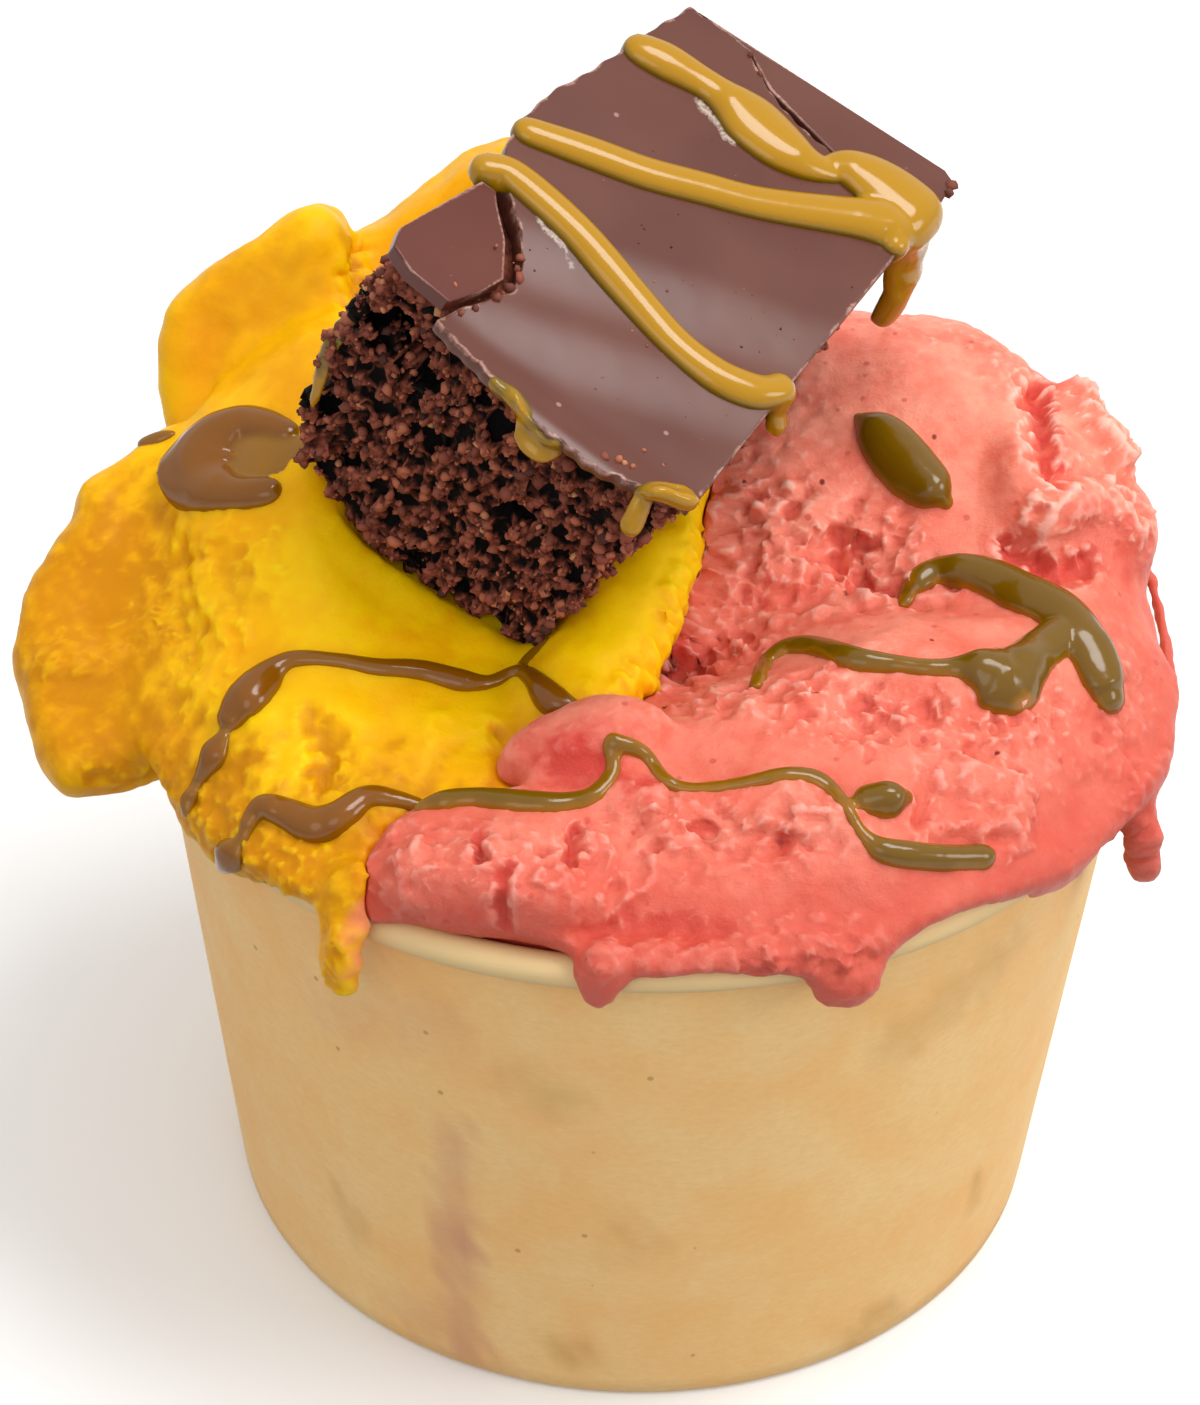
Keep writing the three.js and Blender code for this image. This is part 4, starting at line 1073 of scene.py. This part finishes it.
def dressBits():
    placeSeed, shapeSeed = scatter["seeds"]
    draw = np.random.default_rng(placeSeed)
    scattered = []
    for _ in range(scatter["count"]):
        spot = draw.uniform(scatter["from"], scatter["to"])
        scattered.append((*spot, draw.uniform(*scatter["sizes"]), draw.random()))
    u, v, sizes, tones = np.array(glazeBits + scattered).T
    places = intoBlock(np.stack([u, v, glazeTop(u, v) * (u > 6.5)], 1))
    piece = grains("glaze_bits", places, sizes, shapeSeed)
    tones = np.repeat(tones, grainCorners).astype(np.float32)
    piece.data.attributes["tone"].data.foreach_set("value", tones)
    finish(piece, crumbMaterial())


# ---- sauce: strands that lie on a surface, in photograph pixels with widths in pixels, or
# on the block as [u, v, w, half width]

sauceShape = {
    "across": 5,  # section points on each side of a strand's line
    "swell": 1.14,  # makes up for what the smoothing takes off
    "height": 0.7,  # of the half width
    "mostHeight": 1.6,
    "sunk": 1.1,
    "reach": 2.5,  # how far from a strand's line its surface is looked for
    "voxel": 0.26,
    "smoothing": 4,
}

sauceOnMango = [
    [(286, 432, 28), (266, 425, 36), (240, 424, 44), (212, 440, 66), (198, 462, 84), (205, 484, 62),
     (232, 493, 36), (268, 491, 30)],
    [(232, 715, 32), (244, 700, 42), (262, 680, 36), (280, 664, 22), (300, 658, 17), (337, 660, 15),
     (377, 667, 19), (419, 670, 22), (460, 680, 24), (490, 682, 15), (515, 671, 14), (530, 676, 18),
     (552, 700, 30), (584, 714, 13)],
    [(222, 739, 18), (214, 753, 30), (205, 769, 20), (196, 785, 13), (188, 800, 17), (185, 812, 12)],
    [(243, 838, 12), (250, 820, 17), (262, 806, 22), (284, 812, 28), (312, 824, 34), (336, 818, 32),
     (366, 797, 24), (396, 799, 19), (420, 806, 15)],
    [(238, 842, 14), (230, 856, 32), (222, 868, 16)],
    [(124, 452, 8), (140, 444, 14), (158, 438, 16), (172, 434, 10)],
    [(236, 456, 50, 0.12), (262, 454, 50, 0.12), (288, 452, 44, 0.12)],  # thin films end in a height
    [(546, 640, 14, 0.2), (530, 655, 16, 0.2), (519, 668, 12, 0.3)],
]
sauceOnStrawberry = [
    [(418, 807, 13), (443, 799, 22), (475, 796, 24), (520, 801, 25), (560, 802, 22), (592, 795, 18),
     (613, 770, 14), (608, 745, 12)],
    [(612, 742, 18), (643, 752, 14), (665, 779, 14), (692, 788, 12), (741, 783, 13), (786, 774, 16),
     (819, 780, 18), (844, 803, 12), (862, 832, 12), (885, 850, 24), (930, 856, 26), (985, 855, 26)],
    [(870, 797, 30), (893, 797, 34), (906, 797, 16)],
    [(858, 417, 12), (880, 432, 48), (908, 464, 56), (934, 490, 44), (946, 502, 16)],
    [(903, 604, 14), (919, 580, 24), (952, 569, 32), (993, 578, 44), (1029, 594, 52), (1066, 614, 54),
     (1088, 644, 54), (1104, 680, 48), (1109, 692, 40)],
    [(756, 686, 14), (766, 662, 18), (789, 647, 24), (821, 648, 26), (858, 659, 24), (895, 663, 19),
     (927, 667, 18), (956, 667, 24), (985, 668, 56), (1010, 676, 68), (1032, 655, 44), (1062, 632, 40)],
    [(1000, 684, 52), (1006, 697, 30)],
]
sauceOnGlaze = [
    [(3.7, 37.6, 0, 1.7), (6.1, 38.3, 0, 1.9), (9.7, 39, 0, 1.6), (11.9, 39.1, 0, 1.8),
     (15.1, 38.8, 0, 2.8), (18.7, 38.4, 0, 2.6), (21.4, 38.6, 0, 1.8), (23.8, 39.6, 0, 1.1)],
    [(1.1, 20.8, 0, 1.4), (6.8, 23.4, 0, 1.6), (11.4, 25.4, 0, 1.6), (16.1, 28.2, 0, 1.6),
     (20.8, 31, 0, 1.6), (27.5, 36.3, 0, 1.9), (30.5, 38.4, 0, 2.3), (32.2, 37.4, 0, 1.4)],
    [(22.8, 39.8, 0, 0.9), (24.6, 41.2, 0, 1.9), (27, 42, 0, 2.6), (29.6, 42.2, 0, 3),
     (31.8, 42, 0, 3), (33.4, 41.8, -1, 2.8), (34.2, 41.8, -4, 2.4), (34.6, 41.6, -8, 2),
     (34.9, 41.4, -11, 1.7)],
    [(30, 39.2, 0, 1.6), (31.8, 38.6, 0, 1.6), (32.6, 37.2, 0, 1)],
    [(-0.5, 1.6, -4, 0.25), (-0.6, 1.2, -9, 0.3), (-0.6, 0.6, -13, 0.45), (-0.5, -0.6, -17, 0.4),
     (0, -1.6, -20, 0.3)],
    [(0.9, 14.4, 0, 1.4), (2.6, 15.5, 0, 1.5), (5.9, 15.4, 0, 1.6), (10.3, 14.8, 0, 1.6),
     (14.3, 13.8, 0, 1.6), (18.9, 12.8, 0, 1.5), (23.5, 11.9, 0, 1.5), (27.8, 11.9, 0, 1.6),
     (31.1, 13.2, 0, 1.6), (33.4, 15.2, -0.2, 1.5), (34.4, 15.2, -2, 1.4), (34.5, 15, -4, 1.2)],
    [(13.6, -4.3, -0.6, 0.6), (15.4, -4.7, -1, 0.7), (17.2, -4.9, -1.8, 0.9), (18.7, -4.9, -2.9, 1.2),
     (20.2, -4.9, -2.9, 1.2), (20.8, -4.7, -2.2, 0.9)],
    [(32, -1.4, -0.4, 1.3), (30.1, -2.7, 0, 1.1), (29, -4.2, -0.2, 0.7), (29.3, -4.9, -1.7, 0.7),
     (29.9, -4.9, -4.2, 0.9)],
]


# Each row of values averaged with its neighbours along the strand.
def evened(rows, reach):
    padded = np.concatenate([rows[:1]] * reach + [rows] + [rows[-1:]] * reach)
    return sum(padded[i:i + len(rows)] for i in range(2 * reach + 1)) / (2 * reach + 1)


# Which way the block's surface faces near a point: up on the glaze, outwards past its edges.
def blockFacing(u, v, w):
    right, front, top = block["faces"]
    outward = np.array([max(0, u - right) - max(0, -u), -max(0, front - v), max(0.02, w - top)])
    return outward @ blockUvw / np.linalg.norm(outward)


# A strand's centre line, facing and half widths where it lies on a surface.
def restingLine(tree, route, onBlock):
    line, facing, halves, shares = [], [], [], []
    for sample in throughPoints(route, 6 if onBlock else 7):
        if onBlock:
            hit, normal = intoBlock(sample[:3]), blockFacing(*sample[:3])
            half, share = sample[3], 1
        else:
            hit, normal = spotOn(tree, sample[0], sample[1])
            half = sample[2] / 2 / photo["pixelsPerMm"]
            share = sample[3] if len(sample) > 3 else 1
        if hit is not None:
            line.append(hit)
            facing.append(normal)
            halves.append(half * sauceShape["swell"] * mm)
            shares.append(share)
    facing = evened(np.array(facing), 4)
    facing /= np.linalg.norm(facing, axis=1)[:, None]
    return evened(np.array(line), 1), facing, np.array(halves), min(shares)


def strandSections(tree, route, onBlock):
    line, facing, halves, share = restingLine(tree, route, onBlock)
    ahead = np.gradient(line, axis=0)
    ahead /= np.linalg.norm(ahead, axis=1)[:, None] + 1e-9
    side = np.cross(ahead, facing)
    side /= np.linalg.norm(side, axis=1)[:, None]
    # round ends: shrinking sections beyond the first and the last one
    turns = np.radians([80, 60, 35])
    first = [line[0] - ahead[0] * halves[0] * math.sin(t) for t in turns]
    last = [line[-1] + ahead[-1] * halves[-1] * math.sin(t) for t in turns[::-1]]
    shrunk = np.cos(turns)
    line = np.concatenate([first, line, last])
    halves = np.concatenate([halves[0] * shrunk, halves, halves[-1] * shrunk[::-1]])
    facing = np.concatenate([facing[:1]] * 3 + [facing] + [facing[-1:]] * 3)
    side = np.concatenate([side[:1]] * 3 + [side] + [side[-1:]] * 3)
    turn = np.radians(np.linspace(-90, 90, 2 * sauceShape["across"] + 1))
    offsets, arch = np.sin(turn), np.cos(turn)
    spots = line[:, None] + side[:, None] * (halves[:, None] * offsets)[..., None]
    lift = np.zeros(spots.shape[:2])
    reach = sauceShape["reach"] * mm
    for i, row in enumerate(spots):
        for j, spot in enumerate(row):
            start = Vector(spot + facing[i] * reach)
            hit, _, _, distance = tree.ray_cast(start, Vector(-facing[i]), 2 * reach)
            lift[i, j] = reach - distance if hit else 0
    lift = evened(lift, 3)
    lift = evened(lift.T, 1).T
    high = np.minimum(halves * sauceShape["height"], sauceShape["mostHeight"] * mm) * share
    top = spots + facing[:, None] * (lift + high[:, None] * arch)[..., None]
    bottom = spots + facing[:, None] * (lift - sauceShape["sunk"] * mm * (0.5 + 0.5 * arch))[..., None]
    return np.concatenate([top, bottom[:, -2:0:-1]], axis=1)


def makeSauce(name, tree, routes, onBlock=False):
    points, faces = [], []
    for route in routes:
        rings = strandSections(tree, route, onBlock)
        count, around = rings.shape[:2]
        first = len(points)
        points += [tuple(p) for p in rings.reshape(-1, 3)]
        for i in range(count - 1):
            for j in range(around):
                a, b = first + i * around + j, first + i * around + (j + 1) % around
                faces.append([a, b, b + around, a + around])
        faces.append([first + j for j in range(around)][::-1])
        faces.append([first + (count - 1) * around + j for j in range(around)])
    piece = meshPiece(name, points, faces)
    editWhole(piece, bpy.ops.mesh.normals_make_consistent, inside=False)
    applyModifier(piece, "REMESH", mode="VOXEL", voxel_size=sauceShape["voxel"] * mm)
    applyModifier(piece, "SMOOTH", factor=0.5, iterations=sauceShape["smoothing"])
    piece.data.shade_smooth()
    depth = [tree.find_nearest(Vector(p))[3] / mm for p in pointsOf(piece)]
    keepValues(piece, "depth", np.array(depth))
    return piece


def sauceMaterial(name, thin, thick):
    material, tree, shader = newMaterial(name)
    base = tinted(tree, colour(thin), "depth", 0.1, 0.7, 1, thick)
    setShader(tree, shader, Base_Color=base, Roughness=0.16, Specular_IOR_Level=0.35,
              Coat_Weight=0.12, Coat_Roughness=0.05)
    return material


# ---- light and floor

studio = {
    "glow": (0.28, 0.84),  # the sky's strength below and above the horizon
    "horizon": (-0.2, 0.2),
    "floor": {"size": 6, "drop": 0.0002, "tone": 0.93},
    "lights": {
        "key": {"aim": (0.4, 0.02, 1), "size": 0.45, "distance": 0.9, "power": 4.5},
        "side": {"aim": (0.95, -0.3, 0.45), "size": 0.35, "distance": 0.9, "power": 1.8},
        "fill": {"aim": (-0.25, -1, 0.75), "size": 0.5, "distance": 0.9, "power": 0.9},
    },
}


def addLight(name, aim, size, distance, power):
    light = bpy.data.lights.new(name, "AREA")
    light.shape = "DISK"
    light.size = size
    light.energy = power
    holder = bpy.data.objects.new(name, light)
    bpy.context.scene.collection.objects.link(holder)
    direction = Vector(aim).normalized()
    middle = Vector((0, 0, 60)) * mm
    turn = direction.to_track_quat("Z", "Y").to_matrix().to_4x4()
    holder.matrix_world = Matrix.Translation(middle + direction * distance) @ turn


def addStage():
    bpy.ops.object.select_all(action="DESELECT")
    bpy.ops.mesh.primitive_plane_add(size=studio["floor"]["size"],
                                     location=(0, 0, -studio["floor"]["drop"]))
    floor = bpy.context.object
    floor.name = "floor"
    material, tree, shader = newMaterial("pale_floor")
    setShader(tree, shader, Base_Color=(*[studio["floor"]["tone"]] * 3, 1), Roughness=0.8)
    floor.data.materials.append(material)
    floor.visible_diffuse = False  # the floor throws no light up on the object's front
    world = bpy.data.worlds.new("studio")
    world.use_nodes = True
    tree = world.node_tree
    toSky = addNode(tree, "ShaderNodeTexCoord").outputs["Generated"]
    glow = ranged(tree, heightOf(tree, toSky), *studio["horizon"], studio["glow"])
    tree.links.new(glow, tree.nodes["Background"].inputs["Strength"])
    tree.nodes["Background"].inputs["Color"].default_value = (1, 1, 1, 1)
    bpy.context.scene.world = world
    for name, light in studio["lights"].items():
        addLight(name, **light)
    bpy.context.scene.view_settings.view_transform = "Standard"


# ---- the whole thing

addCamera()
addStage()
print("camera and studio placed")
dressTub()
mangoScoop = dressMango()
strawberryScoop = dressStrawberry()
finishSorbet(mangoScoop, strawberryScoop)
brownieBlock = dressBrownie()
dressCrumbs(brownieBlock)
glazeParts = dressGlaze()
dressBits()

onMango = makeSauce("sauce_on_mango", treeOf(mangoScoop), sauceOnMango)
finish(onMango, sauceMaterial("brown_sauce", "8C5E04", "7E4A02"))  # thin, then thick
onStrawberry = makeSauce("sauce_on_strawberry", treeOf(strawberryScoop), sauceOnStrawberry)
finish(onStrawberry, sauceMaterial("olive_sauce", "9A6406", "6E4E02"))
onGlaze = makeSauce("sauce_on_glaze", treeOf(brownieBlock, *glazeParts), sauceOnGlaze, onBlock=True)
finish(onGlaze, sauceMaterial("golden_sauce", "6C5600", "AC7C00"))
